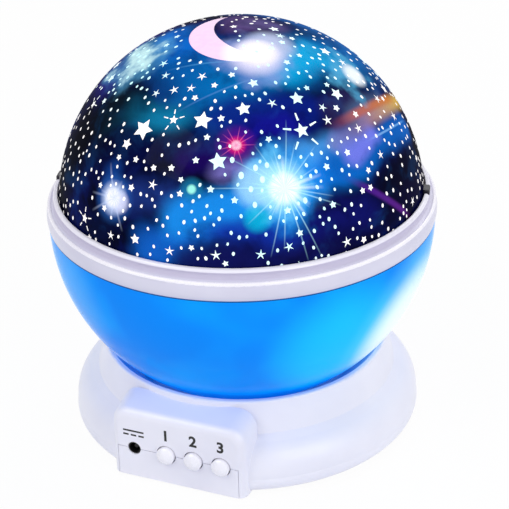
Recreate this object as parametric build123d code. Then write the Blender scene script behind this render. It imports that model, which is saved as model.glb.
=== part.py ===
from build123d import *
from math import acos, asin, atan2, cos, degrees, hypot, pi, radians, sin, sqrt, tan
import os

# Star night light projector. Millimetres, +Z up. The origin is on the turning axis, on the
# table under the rubber feet. The control panel faces -Y.

# ------------------------------------------------------------ clearances
running_gap = 0.3          # between pieces that move past each other
bearing_gap = 0.08         # round a shaft or post that turns in its hole
seat_gap = 0.15            # between shells that plug into each other
screw_gap = 0.05           # round a screw's shank in its pilot hole

# ------------------------------------------------------------ dome
dome_radius = 58.7
dome_wall = 1.5
dome_skirt = 1.4           # straight edge under the dome's equator
lug_count = 2
lug_angle = 15.0           # first lug, from +X towards +Y
lug_width = 6.0
lug_reach = 2.6            # how far a lug stands out of the dome
lug_height = 2.6
lug_drop = 1.3             # how deep a lug sits in the ring's notch

# ------------------------------------------------------------ ring and bowl
ring_lip = 1.4             # top edge, from the dome's seat out to the upper band
ring_neck = 2.4            # how far the upper band is set in from the lower one
ring_overhang = 0.5        # how far the lower band stands out of the bowl
ring_height = 9.2          # from the bowl's rim to the ring's top edge
ring_band = 4.3            # height of the lower band
ring_belly = 0.35          # how far the lower band bows out
ring_bead = 1.2            # rounded bead over the lower band
ring_ledge = 0.5           # sloping ledge from the bead to the upper band
ring_hollow = 0.35         # how far the upper band bows in
ring_rim = 1.0             # rounded rim over the upper band
ring_flange = 2.0          # thickness of the inner flange that carries dome and plate
ring_flange_width = 4.5    # from the dome's seat inwards
ring_spigot = 2.0          # lip that plugs into the bowl
ring_spigot_wall = 1.4

bowl_wall = 2.0
bowl_floor = 2.0
bowl_floor_radius = 36.48  # flat round floor under the bowl
hub_wall = 2.5
hub_height = 12.0          # sleeve on the bowl's floor, round the post

plate_thickness = 1.2      # reflector plate under the dome
plate_hole_radius = 18.0   # window for the lamps
rim_screw_count = 4
rim_screw_angle = 45.0
rim_screw_inset = 2.4      # from the plate's edge to a screw's centre
rim_boss_radius = 3.0
rim_boss_length = 15.0

# ------------------------------------------------------------ base housing
floor_gap = 0.8            # the rubber feet hold the base this far off the table
base_wall = 2.0
cup_gap = 1.2              # between the bowl and the collar
cup_depth = 6.0            # how far the collar rises past the bowl's floor
collar_lip = 1.7
collar_round = 0.8
collar_height = 10.3       # from the crease to the collar's top
collar_flare = 2.6         # how much the collar widens down to the crease
shoulder_step = 2.2        # from the crease out to the shoulder
shoulder_drop = 1.8        # from the crease down to the shoulder
belly_step = 5.4           # from the shoulder out to the widest part
base_belly_z = 6.0         # height of the widest part
foot_tuck = 3.7            # bottom edge, inside the widest part
foot_bow = 1.7             # how far the wall bows out below the widest part
belly_bow = 1.7            # and above it
deck_thickness = 1.8       # floor of the gear pocket
lead_space = 1.8           # under that floor, over the battery bay
pocket_margin = 1.5        # round the pinion's tip

# ------------------------------------------------------------ control panel
panel_set = 1.4            # flat face, inside the base's widest part
panel_side_room = 1.7      # from the last button's flange to the panel's side wall
panel_depth = 10.8
panel_sink = 1.5           # the panel's top at its back, under the collar's top
panel_fall = 2.3           # how much the top falls towards the face
panel_round = 5.5          # upper corners
panel_edge = 3.0           # rounding round the face
parting_z = 11.3           # joint line through buttons and jack
parting_gap = 0.2

button_count = 3
first_button_x = -3.8
button_pitch = 9.4
button_radius = 3.0
button_proud = 1.0         # straight part of the cap outside the face
button_crown = 1.3         # domed end of the cap
button_flange_radius = 4.2
button_flange = 1.0
button_stem_radius = 1.6
button_travel = 0.8
jack_x = -15.0
jack_hole_radius = 2.25
jack_bore_radius = 1.8
jack_pin_radius = 0.65
jack_width = 7.2
jack_height = 6.4
jack_recess = 0.3          # jack's nose behind the face
jack_pin_set = 1.2         # centre pin behind the jack's nose
jack_back = 1.5            # solid behind the jack's bore

board_thickness = 1.6
board_offset = 10.6        # from the panel's face to the control board's front
board_height = 14.2
board_side_gap = 2.7       # control board's ends inside the panel's sides
switch_size = 6.0
switch_depth = 3.5
stem_entry = 0.2           # how far a stem reaches into its switch at rest
stem_spare = 0.6           # left under a pressed stem
guide_width = 2.5
guide_height = 9.0
guide_grip = 0.8           # how far a guide holds the board's edge
guide_cheek = 1.4          # guide wall each side of the board

# ------------------------------------------------------------ gears and motor
gear_module = 1.0
hub_gear_teeth = 48
pinion_teeth = 12
pressure_angle = 25.0
backlash = 0.15            # taken off each gear's tooth at the pitch circle
addendum = 1.0             # in modules
dedendum = 1.25            # in modules
gear_thickness = 3.2
pinion_thickness = 3.0
gear_bore_gap = 1.0        # between the gear's opening and the post's foot
gear_lift = 0.9            # hub gear over the pocket's floor
gear_screw_count = 3
gear_screw_radius = 17.0
motor_radius = 8.0
motor_height = 12.0
motor_ear_reach = 14.0
motor_ear_thickness = 1.5
motor_ear_width = 6.4
motor_shaft_radius = 1.5
shaft_entry = 2.6          # how deep the shaft sits in the motor
pinion_lift = 0.7          # pinion above the pocket's floor

# ------------------------------------------------------------ lamp post and lamps
post_radius = 6.0
post_bore_radius = 3.5
post_foot_radius = 9.5
post_sink = 18.0           # top of the post, under the bowl's rim
washer_thickness = 0.9
clip_thickness = 1.0
clip_radius = 8.2
clip_groove = 0.5
clip_slot = 3.0
holder_radius = 16.0
holder_floor = 1.5
holder_rim = 2.5
holder_wall = 1.2
holder_sleeve = 6.0
holder_sleeve_wall = 2.0
led_count = 4
led_circle = 6.0
led_radius = 2.5
led_flange = 0.4
led_height = 8.0
lead_radius = 0.8
lead_bend = 3.0
lead_drop = 5.0            # motor lead, under the pocket's floor
lead_run = 5.0             # straight stretch before a lead lands on the board
lead_inset = 4.0           # motor lead's end, inside the board's end
lead_gap = 2.2             # from the battery bay's side to the motor lead
lead_pair_pitch = 3.0      # between the battery bay's two leads

# ------------------------------------------------------------ base bottom and batteries
bottom_thickness = 2.0
foot_radius = 4.5
foot_recess = 0.6
foot_edge = 1.4            # from a rubber foot to the bottom plate's edge
foot_angle = 32.3          # first rubber foot, from +X towards +Y
base_boss_radius = 4.2
base_boss_edge = 0.7       # from a screw boss to the bottom plate's edge
base_boss_height = 5.0
base_post_radius = 3.2
door_screw_reach = 6.0     # from the battery bay to the door's screw

cell_count = 4
cell_radius = 5.25         # AAA cell
cell_length = 44.5
cell_nub_radius = 1.9
cell_nub = 1.0
cell_pitch = 11.0
bay_wall = 1.2
bay_motor_gap = 1.8        # between the bay's back wall and the motor
bay_end_gap = 2.75         # from a cell's end to the bay's wall
contact_thickness = 0.4
contact_half_height = 4.0
contact_width = 3.0
door_thickness = 1.7
door_overlap = 2.0         # how far the door reaches past the bay
frame_thickness = 1.2      # the frame that the door closes against
frame_overlap = 2.2
door_ear_radius = 4.2
door_boss_height = 5.8
grip_count = 3             # finger grooves in the door
grip_length = 14.0
grip_groove = 1.2
grip_pitch = 2.5
grip_depth = 0.5

# ------------------------------------------------------------ screws
rim_screw = (1.5, 1.0, 1.0)            # head radius, head height, shank radius
rim_screw_length = 10.0
gear_screw = (2.2, 1.2, 1.0)
gear_boss_height = 4.6                 # over the underside of the bowl's floor
post_screw = (1.8, 1.2, 0.9)
motor_screw = (1.9, 1.2, 0.9)
motor_screw_length = 2.9
base_screw = (2.6, 2.0, 1.25)
base_screw_length = 9.0
door_screw = (2.2, 1.0, 1.0)
door_screw_length = 5.0
head_gap = 0.2                         # round a sunk screw head
blind_end = 0.6                        # solid left over the end of a pilot hole

# ------------------------------------------------------------ worked out: heights from the floor up
bottom_low = floor_gap
bottom_top = bottom_low + bottom_thickness
cell_centre_z = bottom_low + door_thickness + running_gap + cell_radius
bay_top = cell_centre_z + cell_radius + running_gap
deck_low = bay_top + bay_wall + lead_space
deck_z = deck_low + deck_thickness
lead_z = (bay_top + bay_wall + deck_low) / 2
bowl_floor_z = deck_z + gear_lift + gear_thickness
washer_top = bowl_floor_z - running_gap
washer_low = washer_top - washer_thickness
collar_z = bowl_floor_z + cup_depth
crease_z = collar_z - collar_height
shoulder_z = crease_z - shoulder_drop

# ------------------------------------------------------------ worked out: dome, ring and bowl
ring_bore = dome_radius + running_gap
ring_radius = ring_bore + ring_lip + ring_neck
bowl_radius = ring_radius - ring_overhang
bowl_centre_z = bowl_floor_z + sqrt(bowl_radius ** 2 - bowl_floor_radius ** 2)
dome_centre_z = bowl_centre_z + ring_flange + running_gap + dome_skirt
ring_top_z = bowl_centre_z + ring_height
flange_top_z = bowl_centre_z + ring_flange
flange_bore = ring_bore - ring_flange_width
plate_radius = dome_radius - dome_wall - 2 * running_gap
rim_screw_radius = plate_radius - rim_screw_inset
post_top_z = bowl_centre_z - post_sink
holder_z = post_top_z + holder_floor
led_z = holder_z + board_thickness

# ------------------------------------------------------------ worked out: gears
hub_gear_pitch = gear_module * hub_gear_teeth / 2
pinion_pitch = gear_module * pinion_teeth / 2
gear_distance = hub_gear_pitch + pinion_pitch
pocket_radius = gear_distance + pinion_pitch + addendum * gear_module + pocket_margin

# ------------------------------------------------------------ worked out: base
cup_mouth_radius = sqrt((bowl_radius + cup_gap) ** 2 - (collar_z - bowl_centre_z) ** 2)
collar_radius = cup_mouth_radius + collar_lip
crease_radius = collar_radius + collar_flare
shoulder_radius = crease_radius + shoulder_step
base_radius = shoulder_radius + belly_step
base_foot_radius = base_radius - foot_tuck
bottom_radius = base_foot_radius - base_wall - seat_gap
foot_circle = bottom_radius - foot_radius - foot_edge
foot_x = foot_circle * cos(radians(foot_angle))
foot_y = foot_circle * sin(radians(foot_angle))
base_screw_spread = (bottom_radius - base_boss_radius - base_boss_edge) * sqrt(0.5)

# ------------------------------------------------------------ worked out: panel and board
last_button_x = first_button_x + button_pitch * (button_count - 1)
panel_half_width = last_button_x + button_flange_radius + panel_side_room + base_wall
panel_back_z = collar_z - panel_sink
panel_front_z = panel_back_z - panel_fall
panel_y = panel_set - base_radius
panel_inner_y = panel_y + base_wall
tongue_half_width = panel_half_width - base_wall - seat_gap
board_y = panel_y + board_offset
board_half_width = panel_half_width - board_side_gap
switch_front_y = board_y - switch_depth
switch_bore_depth = stem_entry + button_travel + stem_spare

# ------------------------------------------------------------ worked out: battery bay
bay_half_length = cell_length / 2 + bay_end_gap
bay_back_y = gear_distance - motor_radius - bay_motor_gap - bay_wall
bay_front_y = bay_back_y - cell_count * cell_pitch
bay_centre_y = (bay_front_y + bay_back_y) / 2
door_screw_y = bay_front_y - door_screw_reach


# ------------------------------------------------------------ small helpers
def disc(radius, low, high, x=0.0, y=0.0):
    """Upright cylinder between two heights."""
    upright = Cylinder(radius, high - low, align=(Align.CENTER, Align.CENTER, Align.MIN))
    return Pos(x, y, low) * upright


def tube(outer, inner, low, high, x=0.0, y=0.0):
    """Upright ring between two heights."""
    return disc(outer, low, high, x, y) - disc(inner, low - 1, high + 1, x, y)


def rod_y(radius, front, back, x, z):
    """Cylinder along Y between two depths."""
    lying = Cylinder(radius, back - front, align=(Align.CENTER, Align.CENTER, Align.MIN))
    return Pos(x, front, z) * Rot(-90, 0, 0) * lying


def block(x_span, y_span, z_span):
    """Box between pairs of coordinates."""
    size = [span[1] - span[0] for span in (x_span, y_span, z_span)]
    corner = (Align.MIN, Align.MIN, Align.MIN)
    return Pos(x_span[0], y_span[0], z_span[0]) * Box(*size, align=corner)


def spin(lines):
    """Solid turned about Z from a closed half section in the XZ plane."""
    return revolve(Plane.XZ * make_face(lines), Axis.Z, 360)


def sphere_point(radius, centre_z, z):
    """Point of a sphere's half section at a height."""
    return (sqrt(radius ** 2 - (z - centre_z) ** 2), z)


def sphere_arc(radius, centre_z, z_start, z_end):
    """Arc of a sphere's half section between two heights."""
    middle = (asin((z_start - centre_z) / radius) + asin((z_end - centre_z) / radius)) / 2
    through = (radius * cos(middle), centre_z + radius * sin(middle))
    start = sphere_point(radius, centre_z, z_start)
    return ThreePointArc(start, through, sphere_point(radius, centre_z, z_end))


def quarter_arc(radius, centre_z):
    """A ball's half section from its equator to its top."""
    slant = radius * sqrt(0.5)
    return ThreePointArc((radius, centre_z), (slant, centre_z + slant), (0, centre_z + radius))


def bowed(start, end, bow):
    """Arc between two points that bows out to the right of its run by bow."""
    run = hypot(end[0] - start[0], end[1] - start[1])
    across = ((end[1] - start[1]) / run, (start[0] - end[0]) / run)
    middle = ((start[0] + end[0]) / 2 + across[0] * bow, (start[1] + end[1]) / 2 + across[1] * bow)
    return ThreePointArc(start, middle, end)


def around(count, radius, first_angle):
    """Evenly spaced points on a circle about the turning axis."""
    step = 2 * pi / count
    angles = [radians(first_angle) + step * i for i in range(count)]
    return [(radius * cos(a), radius * sin(a)) for a in angles]


def four_corners(x, y):
    """The four mirror images of a point."""
    return [(x, y), (-x, y), (-x, -y), (x, -y)]


def screw_up(size, length, x, y, seat_z):
    """Screw driven upwards, with its head under seat_z."""
    head_radius, head_height, shank_radius = size
    shank = disc(shank_radius, seat_z, seat_z + length, x, y)
    return disc(head_radius, seat_z - head_height, seat_z, x, y) + shank


def screw_down(size, length, x, y, seat_z):
    """Screw driven downwards, with its head on seat_z."""
    head_radius, head_height, shank_radius = size
    shank = disc(shank_radius, seat_z - length, seat_z, x, y)
    return disc(head_radius, seat_z, seat_z + head_height, x, y) + shank


def pilot_radius(size):
    """Hole for a screw's shank."""
    return size[2] + screw_gap


# ------------------------------------------------------------ dome
def dome_lugs(extra):
    """The dome's lugs, grown by extra on each side."""
    low = ring_top_z - lug_drop - extra
    inner = dome_radius - dome_wall
    outer = dome_radius + lug_reach + extra
    half = lug_width / 2 + extra
    lug = block((inner, outer), (-half, half), (low, low + lug_height + extra))
    return [Rot(0, 0, lug_angle + 360 / lug_count * i) * lug for i in range(lug_count)]


def star_dome():
    top_z = dome_centre_z + dome_radius
    rim_z = dome_centre_z - dome_skirt
    inner = dome_radius - dome_wall
    inner_top = dome_centre_z + inner
    shell = spin([
        Line((inner, rim_z), (dome_radius, rim_z)),
        Line((dome_radius, rim_z), (dome_radius, dome_centre_z)),
        quarter_arc(dome_radius, dome_centre_z),
        Line((0, top_z), (0, inner_top)),
        quarter_arc(inner, dome_centre_z),
        Line((inner, dome_centre_z), (inner, rim_z)),
    ])
    hollow = disc(inner, rim_z, dome_centre_z) + Pos(0, 0, dome_centre_z) * Sphere(inner)
    for lug in dome_lugs(0):
        shell += lug - hollow
    return shell


# ------------------------------------------------------------ head
def collar_ring():
    seat_z = bowl_centre_z
    band_z = seat_z + ring_band
    bead_z = band_z + ring_bead
    side = ring_radius - ring_belly
    neck = ring_radius - ring_neck
    bead_end = (side - ring_bead, bead_z)
    neck_start = (neck, bead_z + ring_ledge)
    rim_start = (neck, ring_top_z - ring_rim)
    rim_end = (neck - ring_rim, ring_top_z)
    spigot_outer = bowl_radius - bowl_wall - seat_gap
    spigot_inner = spigot_outer - ring_spigot_wall
    ring = spin([
        Line((spigot_outer, seat_z), (side, seat_z)),
        bowed((side, seat_z), (side, band_z), ring_belly),
        bowed((side, band_z), bead_end, 0.4 * ring_bead),
        Line(bead_end, neck_start),
        bowed(neck_start, rim_start, -ring_hollow),
        bowed(rim_start, rim_end, 0.3 * ring_rim),
        Line(rim_end, (ring_bore, ring_top_z)),
        Line((ring_bore, ring_top_z), (ring_bore, flange_top_z)),
        Line((ring_bore, flange_top_z), (flange_bore, flange_top_z)),
        Line((flange_bore, flange_top_z), (flange_bore, seat_z)),
        Line((flange_bore, seat_z), (spigot_inner, seat_z)),
        Line((spigot_inner, seat_z), (spigot_inner, seat_z - ring_spigot)),
        Line((spigot_inner, seat_z - ring_spigot), (spigot_outer, seat_z - ring_spigot)),
        Line((spigot_outer, seat_z - ring_spigot), (spigot_outer, seat_z)),
    ])
    plug = disc(spigot_outer, seat_z - ring_spigot, seat_z)
    for x, y in around(rim_screw_count, rim_screw_radius, rim_screw_angle):
        ring += disc(rim_boss_radius, seat_z - ring_spigot, seat_z, x, y) & plug
    for x, y in around(rim_screw_count, rim_screw_radius, rim_screw_angle):
        ring -= disc(pilot_radius(rim_screw), seat_z - ring_spigot - 1, flange_top_z + 1, x, y)
    for notch in dome_lugs(running_gap):
        ring -= notch
    return ring


def reflector_plate():
    plate = tube(plate_radius, plate_hole_radius, flange_top_z, flange_top_z + plate_thickness)
    top_z = flange_top_z + plate_thickness
    for x, y in around(rim_screw_count, rim_screw_radius, rim_screw_angle):
        plate -= disc(pilot_radius(rim_screw), flange_top_z - 1, top_z + 1, x, y)
    return plate


def reflector_screws():
    seat_z = flange_top_z + plate_thickness
    spots = around(rim_screw_count, rim_screw_radius, rim_screw_angle)
    return Compound([screw_down(rim_screw, rim_screw_length, x, y, seat_z) for x, y in spots])


def rim_boss(x, y):
    """Screw boss on the bowl's inner wall, with a rib that ties it to the wall."""
    high = bowl_centre_z - ring_spigot
    low = high - rim_boss_length
    post = disc(rim_boss_radius, low, high, x, y)
    outward = degrees(atan2(y, x))
    reach = hypot(x, y)
    half = rim_boss_radius / 2
    rib = Rot(0, 0, outward) * block((reach, bowl_radius), (-half, half), (low, high))
    inside = Pos(0, 0, bowl_centre_z) * Sphere(bowl_radius - bowl_wall / 2)
    hole = disc(pilot_radius(rim_screw), low + 1, high + 1, x, y)
    return ((post + rib) & inside) - hole


def bowl():
    inner = bowl_radius - bowl_wall
    floor_top = bowl_floor_z + bowl_floor
    outer_foot = sphere_point(bowl_radius, bowl_centre_z, bowl_floor_z)
    inner_foot = sphere_point(inner, bowl_centre_z, floor_top)
    bore = post_radius + bearing_gap
    hub_outer = bore + hub_wall
    hub_top = bowl_floor_z + hub_height
    shell = spin([
        Line((bore, bowl_floor_z), outer_foot),
        sphere_arc(bowl_radius, bowl_centre_z, bowl_floor_z, bowl_centre_z),
        Line((bowl_radius, bowl_centre_z), (inner, bowl_centre_z)),
        sphere_arc(inner, bowl_centre_z, bowl_centre_z, floor_top),
        Line(inner_foot, (hub_outer, floor_top)),
        Line((hub_outer, floor_top), (hub_outer, hub_top)),
        Line((hub_outer, hub_top), (bore, hub_top)),
        Line((bore, hub_top), (bore, bowl_floor_z)),
    ])
    for x, y in around(rim_screw_count, rim_screw_radius, rim_screw_angle):
        shell += rim_boss(x, y)
    boss_top = bowl_floor_z + gear_boss_height
    for x, y in around(gear_screw_count, gear_screw_radius, 90):
        shell += disc(gear_screw[0] + head_gap, floor_top, boss_top, x, y)
        shell -= disc(pilot_radius(gear_screw), bowl_floor_z - 1, boss_top - blind_end, x, y)
    return shell


# ------------------------------------------------------------ gears
def involute_angle(base, radius):
    """Angle swept by the involute of a base circle out to a radius."""
    if radius <= base:
        return 0.0
    roll = acos(base / radius)
    return tan(roll) - roll


def gear_face(teeth, turn):
    """Spur gear outline with true involute flanks, one tooth centred at turn degrees."""
    pitch = gear_module * teeth / 2
    base = pitch * cos(radians(pressure_angle))
    root = pitch - dedendum * gear_module
    tip = pitch + addendum * gear_module
    half_tooth = (pi * gear_module / 2 - backlash) / (2 * pitch)
    flank_start = max(base, root)
    flank = [flank_start + (tip - flank_start) * i / 4 for i in range(5)]
    if root < flank_start:
        flank = [root] + flank
    points = []
    for tooth in range(teeth):
        centre = radians(turn) + 2 * pi * tooth / teeth
        half = [half_tooth + involute_angle(base, pitch) - involute_angle(base, r) for r in flank]
        rising = [(r, centre - h) for r, h in zip(flank, half)]
        falling = [(r, centre + h) for r, h in reversed(list(zip(flank, half)))]
        points += [(r * cos(a), r * sin(a)) for r, a in rising + falling]
    return make_face(Polyline(*points, close=True))


def hub_gear():
    """Large gear under the bowl; its opening clears the post's foot."""
    low = bowl_floor_z - gear_thickness
    gear = extrude(Pos(0, 0, low) * gear_face(hub_gear_teeth, 0), gear_thickness)
    gear -= disc(post_foot_radius + gear_bore_gap, low - 1, bowl_floor_z + 1)
    for x, y in around(gear_screw_count, gear_screw_radius, 90):
        gear -= disc(pilot_radius(gear_screw), low - 1, bowl_floor_z + 1, x, y)
        gear -= disc(gear_screw[0] + head_gap, low - 1, gear_screw_seat(), x, y)
    return gear


def gear_screw_seat():
    """Height of the shoulder that a gear screw's head pulls against."""
    return bowl_floor_z - gear_thickness + gear_screw[1] + head_gap


def gear_screws():
    spots = around(gear_screw_count, gear_screw_radius, 90)
    seat_z = gear_screw_seat()
    length = bowl_floor_z + gear_boss_height - blind_end - head_gap - seat_z
    return Compound([screw_up(gear_screw, length, x, y, seat_z) for x, y in spots])


def drive_pinion():
    low = deck_z + pinion_lift
    half_pitch = 180 / pinion_teeth
    gear = extrude(Pos(0, 0, low) * gear_face(pinion_teeth, half_pitch), pinion_thickness)
    gear -= disc(motor_shaft_radius, low - 1, low + pinion_thickness + 1)
    return Pos(0, gear_distance, 0) * gear


def motor_shaft():
    low = deck_low - shaft_entry
    high = deck_z + pinion_lift + pinion_thickness
    return disc(motor_shaft_radius, low, high, 0, gear_distance)


# ------------------------------------------------------------ base housing
def base_section(inset, low, top_z):
    """Half section of the base's outer form, drawn in by inset all round."""
    foot = (base_foot_radius - inset, low)
    foot_top = (base_foot_radius - inset, max(low, floor_gap) + (bottom_thickness if inset else 0))
    belly = (base_radius - inset, base_belly_z)
    shoulder = (shoulder_radius - inset, shoulder_z - inset)
    crease = (crease_radius - inset, crease_z - inset)
    lip = (collar_radius - inset, top_z - collar_round)
    lip_end = (collar_radius - inset - collar_round, top_z)
    lines = [Line((0, low), foot)]
    if inset:
        lines.append(Line(foot, foot_top))
    lines += [
        bowed(foot_top if inset else foot, belly, foot_bow),
        bowed(belly, shoulder, belly_bow),
        Line(shoulder, crease),
        Line(crease, lip),
        bowed(lip, lip_end, 0.3 * collar_round),
        Line(lip_end, (0, top_z)),
        Line((0, top_z), (0, low)),
    ]
    return lines


def cup(extra, low):
    """Space for the bowl and the gears, grown by extra."""
    ball = Pos(0, 0, bowl_centre_z) * Sphere(bowl_radius + cup_gap + extra)
    round_part = ball & disc(base_radius, low, collar_z + 1)
    return round_part + disc(pocket_radius + extra, low, bowl_floor_z + extra)


def panel_block(inset, low):
    """The control panel's box, drawn in by inset: its top falls towards the face, and its corners are round."""
    front = panel_y + inset
    back = panel_y + panel_depth - inset
    slope = panel_fall / panel_depth
    front_z = panel_front_z - inset + slope * inset
    back_z = panel_back_z - inset - slope * inset
    side = make_face(Polyline((front, low), (front, front_z), (back, back_z), (back, low), close=True))
    body = extrude(Plane.YZ * side, panel_half_width - inset, both=True)
    body = fillet(body.edges().group_by(Axis.Z)[-2], panel_round - inset)
    if inset:
        return body
    face_edges = body.faces().sort_by(Axis.Y)[0].edges()
    return fillet([e for e in face_edges if e.center().Z > low + panel_edge], panel_edge)


def panel_holes():
    """Button and jack holes through the panel's face."""
    back = panel_inner_y + 1
    front = panel_y - button_proud
    holes = rod_y(jack_hole_radius, front, back, jack_x, parting_z)
    for i in range(button_count):
        x = first_button_x + button_pitch * i
        holes += rod_y(button_radius + running_gap, front, back, x, parting_z)
    return holes


def base_housing():
    outer = spin(base_section(0, floor_gap, collar_z))
    face_cut = block((-panel_half_width, panel_half_width), (-base_radius - 1, panel_y), (0, shoulder_z))
    outer -= face_cut
    outer += panel_block(0, floor_gap)
    cup_shell = cup(base_wall, deck_low)
    cavity = spin(base_section(base_wall, floor_gap - 1, collar_z - 2 * base_wall)) - cup_shell
    panel_room = panel_block(base_wall, floor_gap - 1) - cup_shell
    half = panel_half_width - base_wall
    low = floor_gap - 1
    mouth = block((-half, half), (panel_y - 1, panel_inner_y + 1), (low, parting_z + parting_gap / 2))
    board_back = board_y + board_thickness + guide_cheek + seat_gap
    passage = block((-half, half), (panel_inner_y, board_back), (low, bottom_top + board_height + seat_gap))
    housing = outer - cup(0, deck_z) - cavity - panel_room - mouth - (passage - cup_shell) - panel_holes()
    post_low = bottom_top + base_boss_height + seat_gap
    for x, y in four_corners(base_screw_spread, base_screw_spread):
        post = disc(base_post_radius, post_low, collar_z - collar_round, x, y) & outer
        housing += post - cup(0, deck_z)
        housing -= disc(pilot_radius(base_screw), post_low - 1, post_low + base_screw_length, x, y)
    housing -= disc(post_bore_radius, deck_low - 1, deck_z + 1)
    for x in post_screw_xs():
        housing -= disc(pilot_radius(post_screw), deck_low - 1, deck_z + 1, x, 0)
    housing -= disc(motor_shaft_radius + running_gap, deck_low - 1, deck_z + 1, 0, gear_distance)
    for x in motor_screw_xs():
        housing -= disc(pilot_radius(motor_screw), deck_low - 1, deck_z - head_gap, x, gear_distance)
    return housing


# ------------------------------------------------------------ base bottom
def door_outline(low, high, extra):
    """The battery door's shape with its screw ear, grown by extra."""
    x = bay_half_length + door_overlap + extra
    y_span = (bay_front_y - door_overlap - extra, bay_back_y + door_overlap + extra)
    ear = disc(door_ear_radius + extra, low, high, 0, door_screw_y)
    neck_half = door_ear_radius + extra
    neck = block((-neck_half, neck_half), (door_screw_y, bay_front_y), (low, high))
    return block((-x, x), y_span, (low, high)) + ear + neck


def bay_box(extra, low, high):
    """Battery bay, grown sideways by extra."""
    x = bay_half_length + extra
    return block((-x, x), (bay_front_y - extra, bay_back_y + extra), (low, high))


def board_guides():
    """Slotted uprights that hold the control board's ends."""
    low = bottom_top - 0.5
    high = bottom_top + guide_height
    y_span = (board_y - guide_cheek, board_y + board_thickness + guide_cheek)
    inner = board_half_width - guide_grip
    guides = []
    for side in (-1, 1):
        ends = sorted((side * inner, side * (inner + guide_width)))
        slot_x = sorted((side * (inner - 1), side * (board_half_width + seat_gap)))
        slot_y = (board_y - seat_gap, board_y + board_thickness + seat_gap)
        slot = block(slot_x, slot_y, (bottom_top, high + 1))
        guides.append(block(ends, y_span, (low, high)) - slot)
    return guides


def base_bottom():
    plate = disc(bottom_radius, bottom_low, bottom_top)
    tongue_x = (-tongue_half_width, tongue_half_width)
    tongue = block(tongue_x, (panel_y, panel_inner_y), (bottom_low, parting_z - parting_gap / 2))
    plate += block(tongue_x, (panel_inner_y, board_y), (bottom_low, bottom_top))
    plate += tongue & panel_block(0, bottom_low - 1)
    plate -= panel_holes()
    plate -= door_outline(bottom_low - 1, bottom_top + 1, running_gap)
    frame_top = bottom_top + frame_thickness
    plate += bay_box(door_overlap + frame_overlap, bottom_top, frame_top)
    plate += bay_box(bay_wall, bottom_top, bay_top + bay_wall)
    plate -= bay_box(0, bottom_top - 1, bay_top)
    boss_top = bottom_top + door_boss_height
    door_boss = disc(door_ear_radius + frame_overlap, bottom_top, boss_top, 0, door_screw_y)
    plate += door_boss - bay_box(0, bottom_low, bay_top)
    door_hole = door_screw[2] + 2 * screw_gap
    plate -= disc(door_hole, bottom_top - 1, boss_top - blind_end, 0, door_screw_y)
    for x, y in four_corners(base_screw_spread, base_screw_spread):
        boss_high = bottom_top + base_boss_height
        plate += disc(base_boss_radius, bottom_top, boss_high, x, y)
        plate -= disc(base_screw[0] + head_gap, bottom_low - 1, base_screw_seat(), x, y)
        plate -= disc(pilot_radius(base_screw), bottom_low - 1, boss_high + 1, x, y)
    for x, y in four_corners(foot_x, foot_y):
        plate -= disc(foot_radius + seat_gap, bottom_low - 1, bottom_low + foot_recess, x, y)
    for guide in board_guides():
        plate += guide
    return plate


def base_screw_seat():
    """Shoulder inside a base boss that a base screw's head pulls against."""
    return bottom_top + base_boss_height / 2


def base_screws():
    spots = four_corners(base_screw_spread, base_screw_spread)
    seat_z = base_screw_seat()
    return Compound([screw_up(base_screw, base_screw_length, x, y, seat_z) for x, y in spots])


def rubber_foot(x, y):
    return disc(foot_radius, 0, bottom_low + foot_recess, x, y)


# ------------------------------------------------------------ battery door, cells and contacts
def battery_door():
    high = bottom_low + door_thickness
    door = door_outline(bottom_low, high, 0)
    door -= disc(pilot_radius(door_screw), bottom_low - 1, high + 1, 0, door_screw_y)
    door -= disc(door_screw[0] + head_gap, bottom_low - 1, door_screw_seat(), 0, door_screw_y)
    half = grip_length / 2
    for i in range(grip_count):
        y = bay_back_y + door_overlap - grip_pitch * (i + 2)
        groove_y = (y - grip_groove / 2, y + grip_groove / 2)
        door -= block((-half, half), groove_y, (bottom_low - 1, bottom_low + grip_depth))
    return door


def door_screw_seat():
    """Shoulder in the door's ear under the screw's head."""
    return bottom_low + door_screw[1] + head_gap


def door_screw_piece():
    return screw_up(door_screw, door_screw_length, 0, door_screw_y, door_screw_seat())


def cell_y(index):
    return bay_centre_y + cell_pitch * (index - (cell_count - 1) / 2)


def battery_cell(index):
    """One cell along X; neighbours point opposite ways."""
    side = 1 if index % 2 == 0 else -1
    can = Cylinder(cell_radius, cell_length - cell_nub)
    nub = Pos(0, 0, cell_length / 2 - cell_nub / 2) * Cylinder(cell_nub_radius, cell_nub)
    cell = Pos(0, 0, -cell_nub / 2) * can + nub
    return Pos(0, cell_y(index), cell_centre_z) * Rot(0, 90 * side, 0) * cell


def contact(side, indices):
    """Sheet contact at one end of the bay, with a bowed leaf for each cell it touches."""
    wall_x = bay_half_length
    inner_x = wall_x - contact_thickness
    tip_x = cell_length / 2 + 0.02
    ys = [cell_y(i) for i in indices]
    z_span = (cell_centre_z - contact_half_height, cell_centre_z + contact_half_height)
    span = (min(ys) - contact_width / 2, max(ys) + contact_width / 2)
    sheet = block((inner_x, wall_x), span, z_span)
    start = (inner_x, z_span[0])
    end = (inner_x, z_span[1])
    bow = inner_x - tip_x
    thin = contact_thickness
    outer = bowed(start, end, -bow)
    inner = bowed((inner_x, z_span[1] - thin), (inner_x, z_span[0] + thin), bow - thin)
    closed = [
        outer,
        Line(end, (inner_x, z_span[1] - thin)),
        inner,
        Line((inner_x, z_span[0] + thin), start),
    ]
    leaf = extrude(Plane.XZ * make_face(closed), contact_width / 2, both=True)
    for y in ys:
        sheet += Pos(0, y, 0) * leaf
    return sheet if side > 0 else mirror(sheet, Plane.YZ)


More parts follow.
